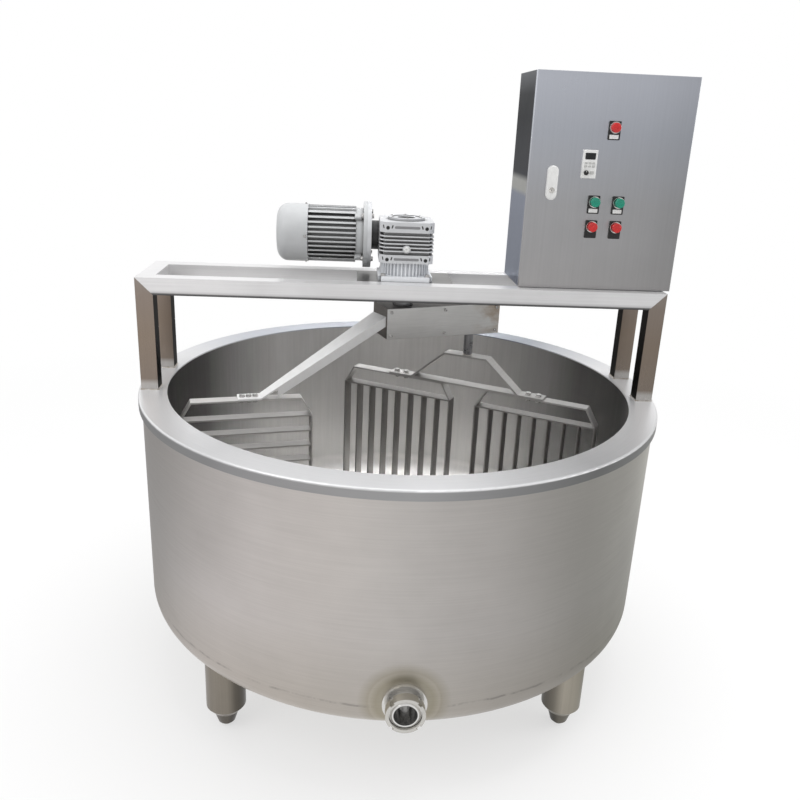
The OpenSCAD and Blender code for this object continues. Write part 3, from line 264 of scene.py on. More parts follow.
def shell_tint_and_painted_reflection(tree):
    """A warmer, darker low part that is a painted reflection of the floor, weld tint round the drain, and the
    uneven dark line of the ground seam.
    """
    height = along(tree, "Z")
    # The low part's warm, darker colour is a painted reflection of the floor
    warm = ramp(tree, between(tree, height, 0.22, 0.50, 0, 1), [(0, (0.84, 0.82, 0.77)), (1, grey(1.0))])
    tint = ramp(tree, between(tree, from_drain(tree), 50 * MM, 130 * MM, 0, 1),
                [(0, (0.82, 0.80, 0.71)), (0.3, (0.76, 0.74, 0.64)), (0.5, (0.90, 0.88, 0.81)),
                 (0.56, (0.82, 0.80, 0.73)), (0.9, grey(1.0))])
    front = mix_colours(tree, between(tree, along(tree, "Y"), -0.4, -0.3, 1, 0), WHITE, tint)
    around = unrolled(tree)
    wander = between(tree, noise(tree, (7, 1, 0), 3.0, 0.6, around), 0, 1, -8 * MM, 8 * MM)
    seam = calculate(tree, "COMPARE", calculate(tree, "ADD", height, wander), SEAM_Z, 3 * MM)
    broken = between(tree, noise(tree, (11, 1, 4), 4.0, 0.7, around), 0.44, 0.60, 0, 0.4)
    share = calculate(tree, "MULTIPLY", seam, broken)
    return mix_colours(tree, share, multiply(tree, warm, front), (*grey(0.25), 1))


def bore_painted_shade(tree):
    """Painted shade: the drain's bore is dull and dark."""
    share = between(tree, from_drain(tree), DRAIN_BORE_R + 0.3 * MM, DRAIN_BORE_R + 1 * MM, 0, 1)
    return ramp(tree, share, [(0, grey(0.42)), (1, grey(1.0))])


def turn_share(tree):
    """Angle round the axis as 0 to 1: from the rear over the left, the front at 0.5, and the right."""
    return between(tree, axis_of(tree, "X", unrolled(tree)), -math.pi, math.pi, 0, 1)


def on_tank_floor(tree):
    return between(tree, along(tree, "Z"), TANK_FLOOR + 20 * MM, TANK_FLOOR + 90 * MM, 1, 0)


def tank_painted_light(tree):
    """Painted light and shade: the side walls and the lower wall are duller than the rear, the front and the
    floor.
    """
    wall = ramp(tree, turn_share(tree),
                [(0.0, grey(1.0)), (0.10, grey(0.9)), (0.19, grey(0.13)), (0.26, grey(0.025)),
                 (0.42, grey(0.7)), (0.58, grey(0.7)), (0.74, grey(0.07)), (0.81, grey(0.16)),
                 (0.92, grey(0.9)), (1.0, grey(1.0))])
    low = ramp(tree, along(tree, "Z"), [(0.35, grey(0.45)), (0.6, grey(0.60)), (0.82, grey(0.72))])
    return mix_colours(tree, on_tank_floor(tree), multiply(tree, wall, low), WHITE)


def tank_metal(tree):
    """The floor is matt, the wall is half bright."""
    return between(tree, on_tank_floor(tree), 0, 1, 0.55, 0.0)


def rim_painted_light(tree):
    """Painted shade on the skirt, and painted reflections that vary round the top."""
    skirt = ramp(tree, between(tree, along(tree, "Z"), RIM_TOP - 7 * MM, RIM_TOP - 3 * MM, 0, 1),
                 [(0, grey(0.40)), (1, grey(1.0))])
    # Painted reflections that vary round the rim's top
    top = ramp(tree, turn_share(tree),
               [(0.0, (0.55, 0.58, 0.64)), (0.12, (0.66, 0.68, 0.73)), (0.2, grey(0.95)), (0.3, grey(1.0)),
                (0.39, grey(0.76)), (0.5, grey(1.0)), (0.6, grey(0.58)), (0.7, grey(0.98)), (0.79, grey(1.0)),
                (0.88, (0.34, 0.365, 0.405)), (1.0, (0.55, 0.58, 0.64))])
    return multiply(tree, skirt, top)


def side_painted_reflection(tree):
    """Cabinet body: a painted dark upper and bluish lower reflection on its left side, and a painted
    highlight line between them."""
    left = between(tree, along(tree, "X", "Generated"), 0.0, 0.01, 1, 0)
    reflection = ramp(tree, along(tree, "Z", "Generated"), SIDE_REFLECTION_STOPS)
    return mix_colours(tree, left, (0.34, 0.345, 0.36, 1), reflection)


def post_tone_and_painted_shade(tree):
    """Brown faces, lighter towards the top, with a bright band above the weld, and painted shade on the
    sides.
    """
    face = ramp(tree, along(tree, "Z", "Generated"),
                [(0.0, (0.56, 0.54, 0.52)), (0.055, (0.52, 0.50, 0.48)), (0.10, (0.27, 0.225, 0.19)),
                 (0.5, (0.29, 0.235, 0.19)), (0.85, (0.31, 0.26, 0.225)), (1.0, (0.34, 0.30, 0.27))])
    # The sides' near-black colour is painted shade
    aside = calculate(tree, "ABSOLUTE", along(tree, "X", "Normal"))
    return mix_colours(tree, between(tree, aside, 0.5, 0.8, 0, 1), face, (0.045, 0.043, 0.04, 1))


def door_painted_reflection(tree):
    """Painted reflection: bluish at the top and warmer below, and painted shade that dulls it towards the
    right edge.
    """
    fall = ramp(tree, along(tree, "X", "Generated"),
                [(0.0, grey(1.0)), (0.35, grey(0.97)), (0.7, grey(0.92)), (1.0, grey(0.80))])
    return multiply(tree, ramp(tree, along(tree, "Z", "Generated"), DOOR_REFLECTION_STOPS), fall)


def input_shade(tree):
    """The gearbox's input neck lies in the shade between its flange and its body."""
    low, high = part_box("gearbox_housing")
    flange = low.x + FLANGE_PLATE + 0.5 * MM
    share = between(tree, along(tree, "X"), flange, -high.x, 0, 1)
    return ramp(tree, share, [(0, grey(1.0)), (0.03, grey(0.12)), (0.97, grey(0.12)), (1, grey(1.0))])


def leg_painted_shade(tree):
    """Painted shade: legs and feet are bright outwards and dark towards the tank's middle, and the left ones
    are duller. They are also darker at the foot."""
    side = calculate(tree, "SIGN", along(tree, "X"))
    outward = calculate(tree, "MULTIPLY", along(tree, "X", "Normal"), side)
    turn = ramp(tree, between(tree, outward, 1, -1, 0, 1),
                [(0, grey(0.80)), (0.3, grey(0.9)), (0.6, grey(0.85)), (0.8, grey(0.40)), (1, grey(0.20))])
    foot = ramp(tree, along(tree, "Z"), [(0.045, grey(0.45)), (0.06, grey(1.0))])
    pair = ramp(tree, between(tree, along(tree, "X"), -0.3, 0.3, 0, 1), [(0, grey(0.5)), (1, grey(1.0))])
    return multiply(tree, multiply(tree, turn, foot), pair)


def cover_shade(tree):
    """A brown stain near the outer end of the carrier's cover."""
    stain = noise(tree, (14, 14, 22), 4.0, 0.6)
    there = between(tree, axis_of(tree, "Y", unrolled(tree)), 0.22, 0.29, 0, 1)
    share = calculate(tree, "MULTIPLY", there, between(tree, stain, 0.4, 0.62, 0, 0.8))
    return mix_colours(tree, share, WHITE, (0.62, 0.50, 0.40, 1))


# Materials

FINE = 230
LONG = 3
UPRIGHT_GRAIN = (FINE, FINE, LONG)
LEVEL_GRAIN = (LONG, FINE, FINE)
SKEW_GRAIN = (14, 14, FINE)
# A lighter, bluish copy of the aluminium: painted light on the gearbox's neck
NECK_PAINTED_LIGHT_TONE = (0.95, 0.97, 1.0)
ALUMINIUM = (0.73, 0.74, 0.76)
GRIME_AND_SHADE = (0.05, 0.045, 0.04, 1)


def steel(name, tone, rough, grain, spread=0.12, edge=1.2 * MM, relief=0.12, patch=(3, 3, 3), metallic=1.0,
          turned=False, shade=None, glance=1.0):
    """Brushed stainless sheet: fine lines along the grain over soft, uneven patches. A turned piece has its
    grain round the axis, a shade gives colour factors for the tone, and glance dims what shows at a flat
    angle."""
    material, tree, shader = new_material(name)
    place = unrolled(tree) if turned else None
    lines = noise(tree, grain, 2.0, 0.65, place)
    patches = noise(tree, patch, 5.0, 0.6, place)
    mixed = blend(tree, patches, lines, 0.35)
    dark = [channel * (1 - spread) for channel in tone]
    light = [min(1.0, channel * (1 + spread)) for channel in tone]
    set_inputs(tree, shader, {"Base Color": shaded(tree, tones(tree, mixed, dark, light), shade),
                              "Roughness": levels(tree, mixed, rough + 0.07, rough - 0.07),
                              "Metallic": metallic(tree) if callable(metallic) else metallic,
                              "Anisotropic": 0.35,
                              "Specular Tint": (*grey(glance), 1)})
    rough_bump(tree, shader, lines, relief, 0.2 * MM, edge)
    return material


def polished(name, tone, rough, shade=None, metallic=1.0):
    """Turned and polished steel with faint smears."""
    material, tree, shader = new_material(name)
    smears = noise(tree, (25, 25, 60), 4.0)
    colour = tones(tree, smears, [channel * 0.88 for channel in tone], tone)
    set_inputs(tree, shader, {"Base Color": shaded(tree, colour, shade),
                              "Roughness": levels(tree, smears, rough, rough * 2),
                              "Metallic": metallic})
    rough_bump(tree, shader, noise(tree, (300, 300, 300), 2.0), 0.04, 0.1 * MM, 0.6 * MM)
    return material


def cast(name, tone, rough, metallic, grime_and_shade=0.45, shade=None):
    """Blasted casting: a sandy skin with hollows that grime and painted shade make darker."""
    material, tree, shader = new_material(name)
    sand = noise(tree, (900, 900, 900), 3.0)
    patches = noise(tree, (18, 18, 18), 5.0)
    mixed = blend(tree, patches, sand, 0.35)
    # Ambient occlusion darkens the hollows: partly grime, partly painted shade
    shelter = add_node(tree, "ShaderNodeAmbientOcclusion", {"Distance": 12 * MM}, samples=4).outputs["AO"]
    skin = tones(tree, mixed, [channel * 0.86 for channel in tone], tone)
    grimed_and_shaded = mix_colours(tree, between(tree, shelter, 0.35, 0.92, grime_and_shade, 0.0), skin, GRIME_AND_SHADE)
    set_inputs(tree, shader, {"Base Color": shaded(tree, grimed_and_shaded, shade),
                              "Roughness": levels(tree, mixed, rough - 0.06, rough + 0.08),
                              "Metallic": metallic})
    rough_bump(tree, shader, sand, 0.18, 0.25 * MM, 1.0 * MM)
    return material


def plastic(name, tone, rough, spread=0.08, grain=1400):
    """Moulded plastic or rubber with a fine grain and light scuffs."""
    material, tree, shader = new_material(name)
    fine = noise(tree, (grain, grain, grain), 2.0)
    scuffs = noise(tree, (60, 60, 60), 5.0, 0.7)
    dark = [channel * (1 - spread) for channel in tone]
    light = [min(1.0, channel * (1 + spread) + 0.004) for channel in tone]
    set_inputs(tree, shader, {"Base Color": tones(tree, scuffs, dark, light),
                              "Roughness": levels(tree, scuffs, rough - 0.05, rough + 0.1)})
    rough_bump(tree, shader, fine, 0.06, 0.1 * MM, 0.5 * MM)
    return material


def weld_metal():
    """Bare weld: bright ripples with a straw and brown tint."""
    material, tree, shader = new_material("weld_metal")
    tint = noise(tree, (90, 90, 90), 3.0)
    set_inputs(tree, shader, {"Base Color": tones(tree, tint, (0.36, 0.31, 0.26), (0.66, 0.64, 0.62)),
                              "Roughness": levels(tree, tint, 0.32, 0.5),
                              "Metallic": 1.0})
    rough_bump(tree, shader, noise(tree, (700, 700, 700), 2.0), 0.2, 0.2 * MM, 0)
    return material


materials = {
    "shell": steel("shell_steel", (0.54, 0.515, 0.495), 0.36, (3, 1, FINE), spread=0.08, edge=0, relief=0.05,
                   patch=(2.2, 1, 3.0), turned=True, shade=shell_tint_and_painted_reflection),
    "tank": steel("tank_steel", (0.87, 0.855, 0.835), 0.40, (80, 80, 2), edge=0, relief=0.08,
                  patch=(5, 5, 1.5), metallic=tank_metal, shade=tank_painted_light),
    "rim": steel("rim_steel", (0.89, 0.89, 0.90), 0.34, (4, FINE, FINE), spread=0.05, edge=0, relief=0.05,
                 patch=(2, 2, 2), metallic=0.6, turned=True, shade=rim_painted_light, glance=0.6),
    "rail": steel("rail_steel", (0.81, 0.805, 0.81), 0.34, LEVEL_GRAIN, 0.10, metallic=0.65,
                  shade=by_height(RAIL_PAINTED_SHADE_STOPS)),
    "post": steel("post_steel", grey(1.0), 0.30, UPRIGHT_GRAIN, shade=post_tone_and_painted_shade, glance=0.4),
    "leg": steel("leg_steel", (0.54, 0.495, 0.42), 0.33, UPRIGHT_GRAIN, shade=leg_painted_shade),
    "plate": steel("plate_steel", (0.26, 0.255, 0.25), 0.35, LEVEL_GRAIN),
    "door": steel("door_steel", grey(1.0), 0.33, UPRIGHT_GRAIN, 0.11, shade=door_painted_reflection),
    "cabinet": steel("cabinet_steel", grey(1.0), 0.33, UPRIGHT_GRAIN, 0.10, shade=side_painted_reflection, glance=0.4),
    # The case's dark tone is partly painted shade, from the shadow between the rail and the case
    "case": steel("case_steel", (0.16, 0.145, 0.13), 0.38, SKEW_GRAIN),
    "cover": steel("cover_steel", (0.66, 0.65, 0.64), 0.34, SKEW_GRAIN, shade=cover_shade),
    "arm": steel("arm_steel", (0.98, 0.97, 0.965), 0.36, (40, 40, 40), metallic=0.35,
                 shade=by_height(ARM_PAINTED_LIGHT_STOPS)),
    # The harp steels are lit and shaded copies of one steel: painted shade darkens the harps in the tank, and
    # the bails and the fixed harp are painted lighter
    "harp": steel("harp_steel", (0.26, 0.25, 0.24), 0.36, UPRIGHT_GRAIN, 0.18, metallic=0.65),
    "bail": steel("bail_steel", (0.42, 0.41, 0.40), 0.36, SKEW_GRAIN, metallic=0.6),
    "fixed_harp": steel("fixed_harp_steel", (0.42, 0.408, 0.395), 0.36, SKEW_GRAIN, 0.16, metallic=0.6),
    "fixed_bail": steel("fixed_bail_steel", (0.62, 0.605, 0.59), 0.36, SKEW_GRAIN, metallic=0.6),
    "polished": polished("polished_steel", (0.78, 0.76, 0.73), 0.10),
    "drain": polished("drain_steel", (0.82, 0.81, 0.79), 0.12, bore_painted_shade, 0.8),
    "nut": polished("nut_steel", (0.66, 0.645, 0.61), 0.12, metallic=0.9),
    "shaft": polished("shaft_steel", (0.34, 0.34, 0.35), 0.20),
    "bolt": polished("bolt_steel", (0.62, 0.61, 0.60), 0.18),
    "bronze": polished("bronze", (0.60, 0.42, 0.18), 0.25),
    "aluminium": cast("cast_aluminium", ALUMINIUM, 0.40, 0.5, grime_and_shade=0.9),
    "housing": cast("housing_aluminium", ALUMINIUM, 0.40, 0.5, grime_and_shade=0.9, shade=input_shade),
    "neck": cast("neck_aluminium", NECK_PAINTED_LIGHT_TONE, 0.42, 0.05, grime_and_shade=0.12),
    "recess": cast("shaded_aluminium", (0.30, 0.30, 0.31), 0.50, 0.4),
    "paint": cast("motor_paint", (0.56, 0.57, 0.58), 0.38, 0.0, grime_and_shade=0.8),
    "wool": plastic("insulation_wool", (0.62, 0.55, 0.32), 0.9, 0.3, 200),
    "zinc": steel("zinc_sheet", (0.56, 0.55, 0.51), 0.42, UPRIGHT_GRAIN, 0.05),
    "black": plastic("black_plastic", (0.012, 0.012, 0.012), 0.42),
    "grey": plastic("grey_plastic", (0.07, 0.075, 0.08), 0.45),
    "white": plastic("white_plastic", (0.80, 0.80, 0.79), 0.30, 0.04),
    "key": plastic("key_plastic", (0.50, 0.50, 0.49), 0.40),
    "glass": plastic("display_glass", (0.008, 0.009, 0.010), 0.08),
    "red": plastic("red_plastic", (0.55, 0.02, 0.02), 0.25),
    "green": plastic("green_plastic", (0.01, 0.26, 0.17), 0.25),
    "rubber": plastic("seal_rubber", (0.02, 0.02, 0.02), 0.75, 0.2, 500),
    "weld": weld_metal(),
}

# Which finish each solid wears
node_finish = {
    "shell": ["outer_shell", "jacket_ports", "heating_jacket"],
    "tank": ["inner_tank"],
    "rim": ["rim_ring"],
    "rail": ["front_rail", "rear_rail", "cross_tubes"],
    "post": ["post_front_left", "post_front_right", "post_rear_left", "post_rear_right"],
    "leg": ["legs", "feet"],
    "plate": ["drive_plate"],
    "door": ["cabinet_door"],
    "cabinet": ["cabinet_body"],
    "case": ["carrier_case"],
    "cover": ["carrier_cover"],
    "arm": ["arm"],
    "harp": ["inner_harp", "outer_harp"],
    "bail": ["inner_bail", "outer_bail", "yoke"],
    "fixed_harp": ["fixed_harp"],
    "fixed_bail": ["fixed_bail"],
    "polished": ["button_bezels", "hinge_pins"],
    "drain": ["drain_pipe"],
    "nut": ["union_nut"],
    "shaft": ["main_shaft", "planet_shaft", "rotor", "sun_sprocket", "planet_sprocket", "drive_chain"],
    "bronze": ["worm_wheel"],
    "housing": ["gearbox_housing"],
    "aluminium": ["gearbox_cover"],
    "neck": ["gearbox_neck"],
    "paint": ["motor_frame", "motor_flange", "fan_cover", "terminal_box"],
    "wool": ["insulation"],
    "zinc": ["mounting_panel"],
    "black": ["cooling_fan", "cable_gland", "speed_knob"],
    "grey": ["inverter"],
    "white": ["contactors", "keypad", "lock_handle"],
    "red": ["pilot_lamp", "stop_button_left", "stop_button_right"],
    "green": ["start_button_left", "start_button_right"],
    "rubber": ["door_seal"],
}


def dress_solids():
    for finish, names in node_finish.items():
        for name in names:
            solid = frame["nodes"][name]
            solid.data.materials.clear()
            solid.data.materials.append(materials[finish])


# Mesh pieces

SHARP_ANGLE = math.radians(32)


def angles(count, offset=0.0):
    """Angles of evenly spaced places round a circle, moved on by a share of their spacing."""
    return [TURN * (i + offset) / count for i in range(count)]


def in_mm(points):
    """Points that are given in millimetres."""
    return [(a * MM, b * MM) for a, b in points]


def moved(x, y, z=0.0):
    return Matrix.Translation((x, y, z))


def facing(place, normal, turn=0.0):
    """Frame at a place with its +Z along a normal."""
    aim = Vector(normal).to_track_quat("Z", "Y").to_matrix().to_4x4()
    return Matrix.Translation(place) @ aim @ Matrix.Rotation(turn, 4, "Z")


def standing(place, angle):
    """Frame at a place, turned about the vertical."""
    return Matrix.Translation(place) @ Matrix.Rotation(angle, 4, "Z")


def join_rings(bm, rings):
    """Skins a row of vertex rings; a ring of one vertex is a tip."""
    for a, b in zip(rings, rings[1:]):
        count = max(len(a), len(b))
        for i in range(count):
            j = (i + 1) % count
            corners = [a[i % len(a)], a[j % len(a)], b[j % len(b)], b[i % len(b)]]
            bm.faces.new(list(dict.fromkeys(corners)))


def add_lathe(bm, at, profile, steps=32, hexagon=()):
    """Closed solid from (radius, height) points turned about the frame's Z. Points listed in hexagon have a
    six-sided ring, and a profile that ends where it starts makes a hollow ring."""
    rings = []
    hollow = profile[0] == profile[-1]
    for index, (radius, height) in enumerate(profile[:-1] if hollow else profile):
        if radius == 0:
            rings.append([bm.verts.new(at @ Vector((0, 0, height)))])
            continue
        ring = []
        for angle in angles(steps):
            reach = radius
            if index in hexagon:
                reach *= math.cos(TURN / 12) / math.cos(angle % (TURN / 6) - TURN / 12)
            ring.append(bm.verts.new(at @ Vector((reach * math.cos(angle), reach * math.sin(angle), height))))
        rings.append(ring)
    join_rings(bm, rings + rings[:1] if hollow else rings)
    for ring in (rings[0], rings[-1]):
        if len(ring) > 1 and not hollow:
            bm.faces.new(ring)


def rounded(width, height, corner, steps=6):
    """Outline of a rectangle with round corners."""
    corner = min(corner, width / 2, height / 2)
    points = []
    for quarter, (sx, sy) in enumerate([(1, 1), (-1, 1), (-1, -1), (1, -1)]):
        for step in range(steps + 1):
            angle = TURN / 4 * (quarter + step / steps)
            points.append((sx * (width / 2 - corner) + corner * math.cos(angle),
                           sy * (height / 2 - corner) + corner * math.sin(angle)))
    return points


def add_loft(bm, at, sections):
    """Closed solid through (outline, height) sections that have equal numbers of points."""
    rings = [[bm.verts.new(at @ Vector((x, y, height))) for x, y in outline] for outline, height in sections]
    join_rings(bm, rings)
    bm.faces.new(rings[0])
    bm.faces.new(rings[-1])


def add_tile(bm, at, width, height, thick, corner, edge):
    """Rectangular tile with round corners and a chamfered face, in millimetres."""
    width, height, thick, corner, edge = (size * MM for size in (width, height, thick, corner, edge))
    add_loft(bm, at, [(rounded(width, height, corner), 0),
                      (rounded(width, height, corner), thick - edge),
                      (rounded(width - 2 * edge, height - 2 * edge, corner - edge / 2), thick)])


def add_bead(bm, path, radius):
    """Rippled weld bead along a closed path of evenly spaced points."""
    ripple = 5
    swelling = 0.14
    rings = []
    for i, point in enumerate(path):
        run = (path[(i + 1) % len(path)] - path[i - 1]).normalized()
        side = run.orthogonal().normalized() if abs(run.z) > 0.9 else run.cross(UP).normalized()
        lift = side.cross(run)
        swell = radius * (1 + swelling * math.cos(TURN * i / ripple))
        rings.append([bm.verts.new(point + swell * (math.cos(a) * side + math.sin(a) * lift))
                      for a in angles(8)])
    join_rings(bm, rings + rings[:1])


def evenly(corners, step):
    """Points a step apart round a closed outline with straight sides."""
    points = []
    for a, b in zip(corners, corners[1:] + corners[:1]):
        count = max(1, round((b - a).length / step))
        points += [a.lerp(b, i / count) for i in range(count)]
    return points


def circle(middle, radius, count):
    """Points on a level circle."""
    return [Vector((middle.x + radius * math.cos(a), middle.y + radius * math.sin(a), middle.z))
            for a in angles(count)]


def add_bolt(bm, at, size):
    """Hexagon bolt head on a washer, for a thread of that size."""
    profile = [(1.05, 0), (1.05, 0.14), (1, 0.18), (0.92, 0.18), (0.92, 0.7), (0.8, 0.82), (0, 0.82)]
    add_lathe(bm, at, [(r * size, z * size) for r, z in profile], 24, (3, 4))


def add_screw(bm, at, size):
    """Socket screw head with a six-sided recess."""
    profile = [(0.78, 0), (0.78, 0.8), (0.7, 0.92), (0.48, 0.92), (0.45, 0.4), (0, 0.36)]
    add_lathe(bm, at, [(r * size, z * size) for r, z in profile], 24, (3, 4))


def make_piece(name, bm, finish, body):
    """Turns mesh work into a piece that rides on a body."""
    bmesh.ops.recalc_face_normals(bm, faces=bm.faces)
    mesh = bpy.data.meshes.new(name)
    bm.to_mesh(mesh)
    bm.free()
    mesh.materials.append(materials[finish])
    mesh.shade_smooth()
    mesh.set_sharp_from_angle(angle=SHARP_ANGLE)
    piece = bpy.data.objects.new(name, mesh)
    bpy.context.scene.collection.objects.link(piece)
    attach(piece, body)
    return piece


# Fasteners and welds

def clamp_bolt(bm, at, reach, size):
    """Bolt heads on both sides of a clamp bar and the bail under it."""
    add_bolt(bm, at @ moved(reach, 0), size)
    add_bolt(bm, at @ facing((reach, 0, -CLAMP_GRIP), DOWN), size)


def harp_bolts():
    """Two bolts at each end of the yoke's clamp bar."""
    bm = bmesh.new()
    at = standing(Vector((PLANET.x, PLANET.y, CLAMP_TOP)), HARP_ANGLE)
    for side in (-1, 1):
        for reach in (0.218, 0.252):
            clamp_bolt(bm, at, side * reach, 10 * MM)
    make_piece("yoke_bolts", bm, "bolt", "planet")


def arm_bolts():
    """Bolts through the arm's clamp tab."""
    bm = bmesh.new()
    at = standing(Vector((0, 0, CLAMP_TOP)), ARM_ANGLE)
    for reach in (0.458, 0.478, 0.498):
        clamp_bolt(bm, at, reach, 9 * MM)
    make_piece("arm_bolts", bm, "bolt", "carrier")


def cover_screws():
    """Screws along both long edges of the carrier's front cover."""
    cover_face = -0.061
    bm = bmesh.new()
    at = standing(Vector((0, 0, 0)), CARRIER_ANGLE)
    for along_case in (-0.060, 0.12, 0.300):
        for height in (1.080, 1.153):
            add_screw(bm, at @ facing((along_case, cover_face, height), FRONT), 6 * MM)
    make_piece("cover_screws", bm, "bolt", "carrier")


def motor_place(distance, radius, angle):
    """Point round the motor's axis, at a distance along it from the gearbox axis."""
    return Vector((-distance, MOTOR_Y + radius * math.cos(angle), MOTOR_Z + radius * math.sin(angle)))


def motor_fasteners():
    """Flange bolts, end-bell lugs with their bolts, and fan cover screws."""
    flange_bolt_r = 90.5 * MM
    lug_r = 83 * MM
    lug_screw_r = 83.5 * MM
    fan_screw_r = 86.8 * MM
    lug_middle = FLANGE_JOINT + 27 * MM
    lug_end = FLANGE_JOINT + 18.5 * MM
    fan_screw = 8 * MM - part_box("fan_cover")[1].x
    bolts = bmesh.new()
    lugs = bmesh.new()
    for angle in angles(4, 0.5):
        add_bolt(bolts, facing(motor_place(FLANGE_JOINT + FLANGE_PLATE, flange_bolt_r, angle), LEFT), 8 * MM)
        add_bolt(bolts, facing(motor_place(FLANGE_JOINT - FLANGE_PLATE, flange_bolt_r, angle), RIGHT), 8 * MM)
        outward = motor_place(0, 1, angle) - motor_place(0, 0, angle)
        lug = facing(motor_place(lug_middle, lug_r, angle), outward)
        add_tile(lugs, lug @ moved(0, 0, -8 * MM), 24, 18, 17, 5, 3)
        add_screw(bolts, facing(motor_place(lug_end, lug_screw_r, angle), RIGHT), 7 * MM)
        aslant = outward @ Matrix.Rotation(-TURN / 8, 3, "X")
        add_screw(bolts, facing(motor_place(fan_screw, fan_screw_r, angle + TURN / 8), aslant), 4 * MM)
    make_piece("motor_bolts", bolts, "bolt", "vat")
    make_piece("end_bell_lugs", lugs, "paint", "vat")


def gearbox_fasteners():
    """Screws in the top cover, and bolts in the base flange."""
    cover_screw_r = 49 * MM
    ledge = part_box("gearbox_cover")[0].z + 6.2 * MM
    base_bolt = 66 * MM
    base_thick = 15 * MM
    bm = bmesh.new()
    for angle in angles(6, 0.5):
        add_screw(bm, moved(cover_screw_r * math.cos(angle), cover_screw_r * math.sin(angle), ledge), 4 * MM)
    for sx in (-1, 1):
        for sy in (-1, 1):
            add_bolt(bm, moved(sx * base_bolt, sy * base_bolt, RAIL_TOP + base_thick), 8 * MM)
    make_piece("gearbox_screws", bm, "bolt", "vat")


def band_details():
    """Dark tiles painted as the shade in the bolt holes, slots and long recesses of the gearbox's two bands.
    """
    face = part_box("gearbox_housing")[0].y
    rim = in_mm([(5.2, 0), (5.2, 0.5), (4.4, 0.7), (4.0, 0.3), (0, 0.3)])
    drop = 1.5 * MM
    slant = 0.3
    holes = bmesh.new()
    strips = bmesh.new()
    band_heights = (1.3155, 1.408)
    for side in (-1, 1):
        for z in band_heights:
            add_lathe(holes, facing((side * 0.057, face, z - drop), FRONT), rim)
            slot = facing((side * 0.044, face, z + drop), FRONT, side * slant)
            add_tile(holes, slot, 3.4, 10, 0.5, 1.6, 0.2)
            corner = facing((side * 0.0695, face + 5.5 * MM, z + drop), (side, -1, 0), -side * slant)
            add_tile(holes, corner, 3.8, 10, 0.5, 1.8, 0.2)
    for z in band_heights:
        add_tile(strips, facing((0, face, z), FRONT), 74, 7, 0.5, 3, 0.2)
    make_piece("band_hole_shade", holes, "black", "vat")
    make_piece("band_recess_shade", strips, "recess", "vat")


def hub_details():
    """Ring over the hollow hub in the gearbox's top cover, and a black cap in it that is painted shade of the
    hub's hollow inside.
    """
    hub = moved(0, 0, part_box("gearbox_cover")[0].z + 4.2 * MM)
    ring = bmesh.new()
    add_lathe(ring, hub, in_mm([(40, 0), (40, 1.4), (39, 1.8), (28, 1.8), (27, 1.2), (27, 0), (40, 0)]), 48)
    make_piece("hub_ring", ring, "aluminium", "vat")
    # The black cap stands for the shade inside the hollow hub
    cap = bmesh.new()
    add_lathe(cap, hub, in_mm([(0, 0), (26.8, 0), (26.8, 0.6), (24, 1.0), (20, 0.5), (0, 0.5)]), 48)
    make_piece("hub_hollow_shade", cap, "rubber", "vat")


def gearbox_trim():
    """End cap on the worm's free end, and the oil plug low on the front."""
    cap = bmesh.new()
    cap_thick = 7 * MM
    cap_screw_r = 27 * MM
    at = facing((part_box("gearbox_housing")[1].x, MOTOR_Y, MOTOR_Z), RIGHT)
    add_lathe(cap, at, in_mm([(36, 0), (36, 5), (34, 7), (20, 7), (18, 5), (6, 5), (0, 5)]), 48)
    for angle in angles(4, 0.5):
        place = moved(cap_screw_r * math.cos(angle), cap_screw_r * math.sin(angle), cap_thick)
        add_screw(cap, at @ place, 5 * MM)
    make_piece("worm_end_cap", cap, "aluminium", "vat")
    boss = bmesh.new()
    boss_mm = 13
    front = facing((0, -0.074, 1.345), FRONT)
    add_lathe(boss, front, in_mm([(12, 0), (12, 11), (10, boss_mm), (0, boss_mm)]), 40)
    make_piece("oil_plug_boss", boss, "aluminium", "vat")
    plug = bmesh.new()
    profile = in_mm([(9, 0), (9, 1.5), (8, 2), (7, 2), (7, 6), (6, 7), (3, 7), (2.5, 5), (0, 5)])
    add_lathe(plug, front @ moved(0, 0, boss_mm * MM), profile, 24, (3, 4))
    make_piece("oil_plug", plug, "white", "vat")


def post_welds(bm):
    """Beads round the feet of the bridge's posts, on the rim."""
    for name in node_finish["post"]:
        low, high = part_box(name)
        corners = [(low.x, low.y), (high.x, low.y), (high.x, high.y), (low.x, high.y)]
        add_bead(bm, evenly([Vector((x, y, RIM_TOP)) for x, y in corners], 1.5 * MM), 3 * MM)


def leg_welds(bm):
    """Beads where the legs meet the shell's bottom, which is round towards its edge."""
    leg_circle = 0.704
    leg_r = 57 * MM
    knuckle = 72 * MM
    shell_low, shell_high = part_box("outer_shell")
    flat = shell_high.x - knuckle
    for angle in angles(4, 0.5):
        path = circle(Vector((leg_circle * math.cos(angle), leg_circle * math.sin(angle), 0)), leg_r, 230)
        for point in path:
            out = max(0.0, point.length - flat)
            point.z = shell_low.z + knuckle - math.sqrt(knuckle ** 2 - out ** 2)
        add_bead(bm, path, 2.5 * MM)


def port_welds(bm):
    """Beads round the jacket ports, on the shell's rear."""
    port_x = 0.16
    port_z = 0.37
    port_r = 21 * MM
    shell_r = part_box("outer_shell")[1].x
    for middle in (-port_x, port_x):
        path = []
        for angle in angles(90):
            x = middle + port_r * math.cos(angle)
            path.append(Vector((x, math.sqrt(shell_r ** 2 - x ** 2), port_z + port_r * math.sin(angle))))
        add_bead(bm, path, 2.2 * MM)


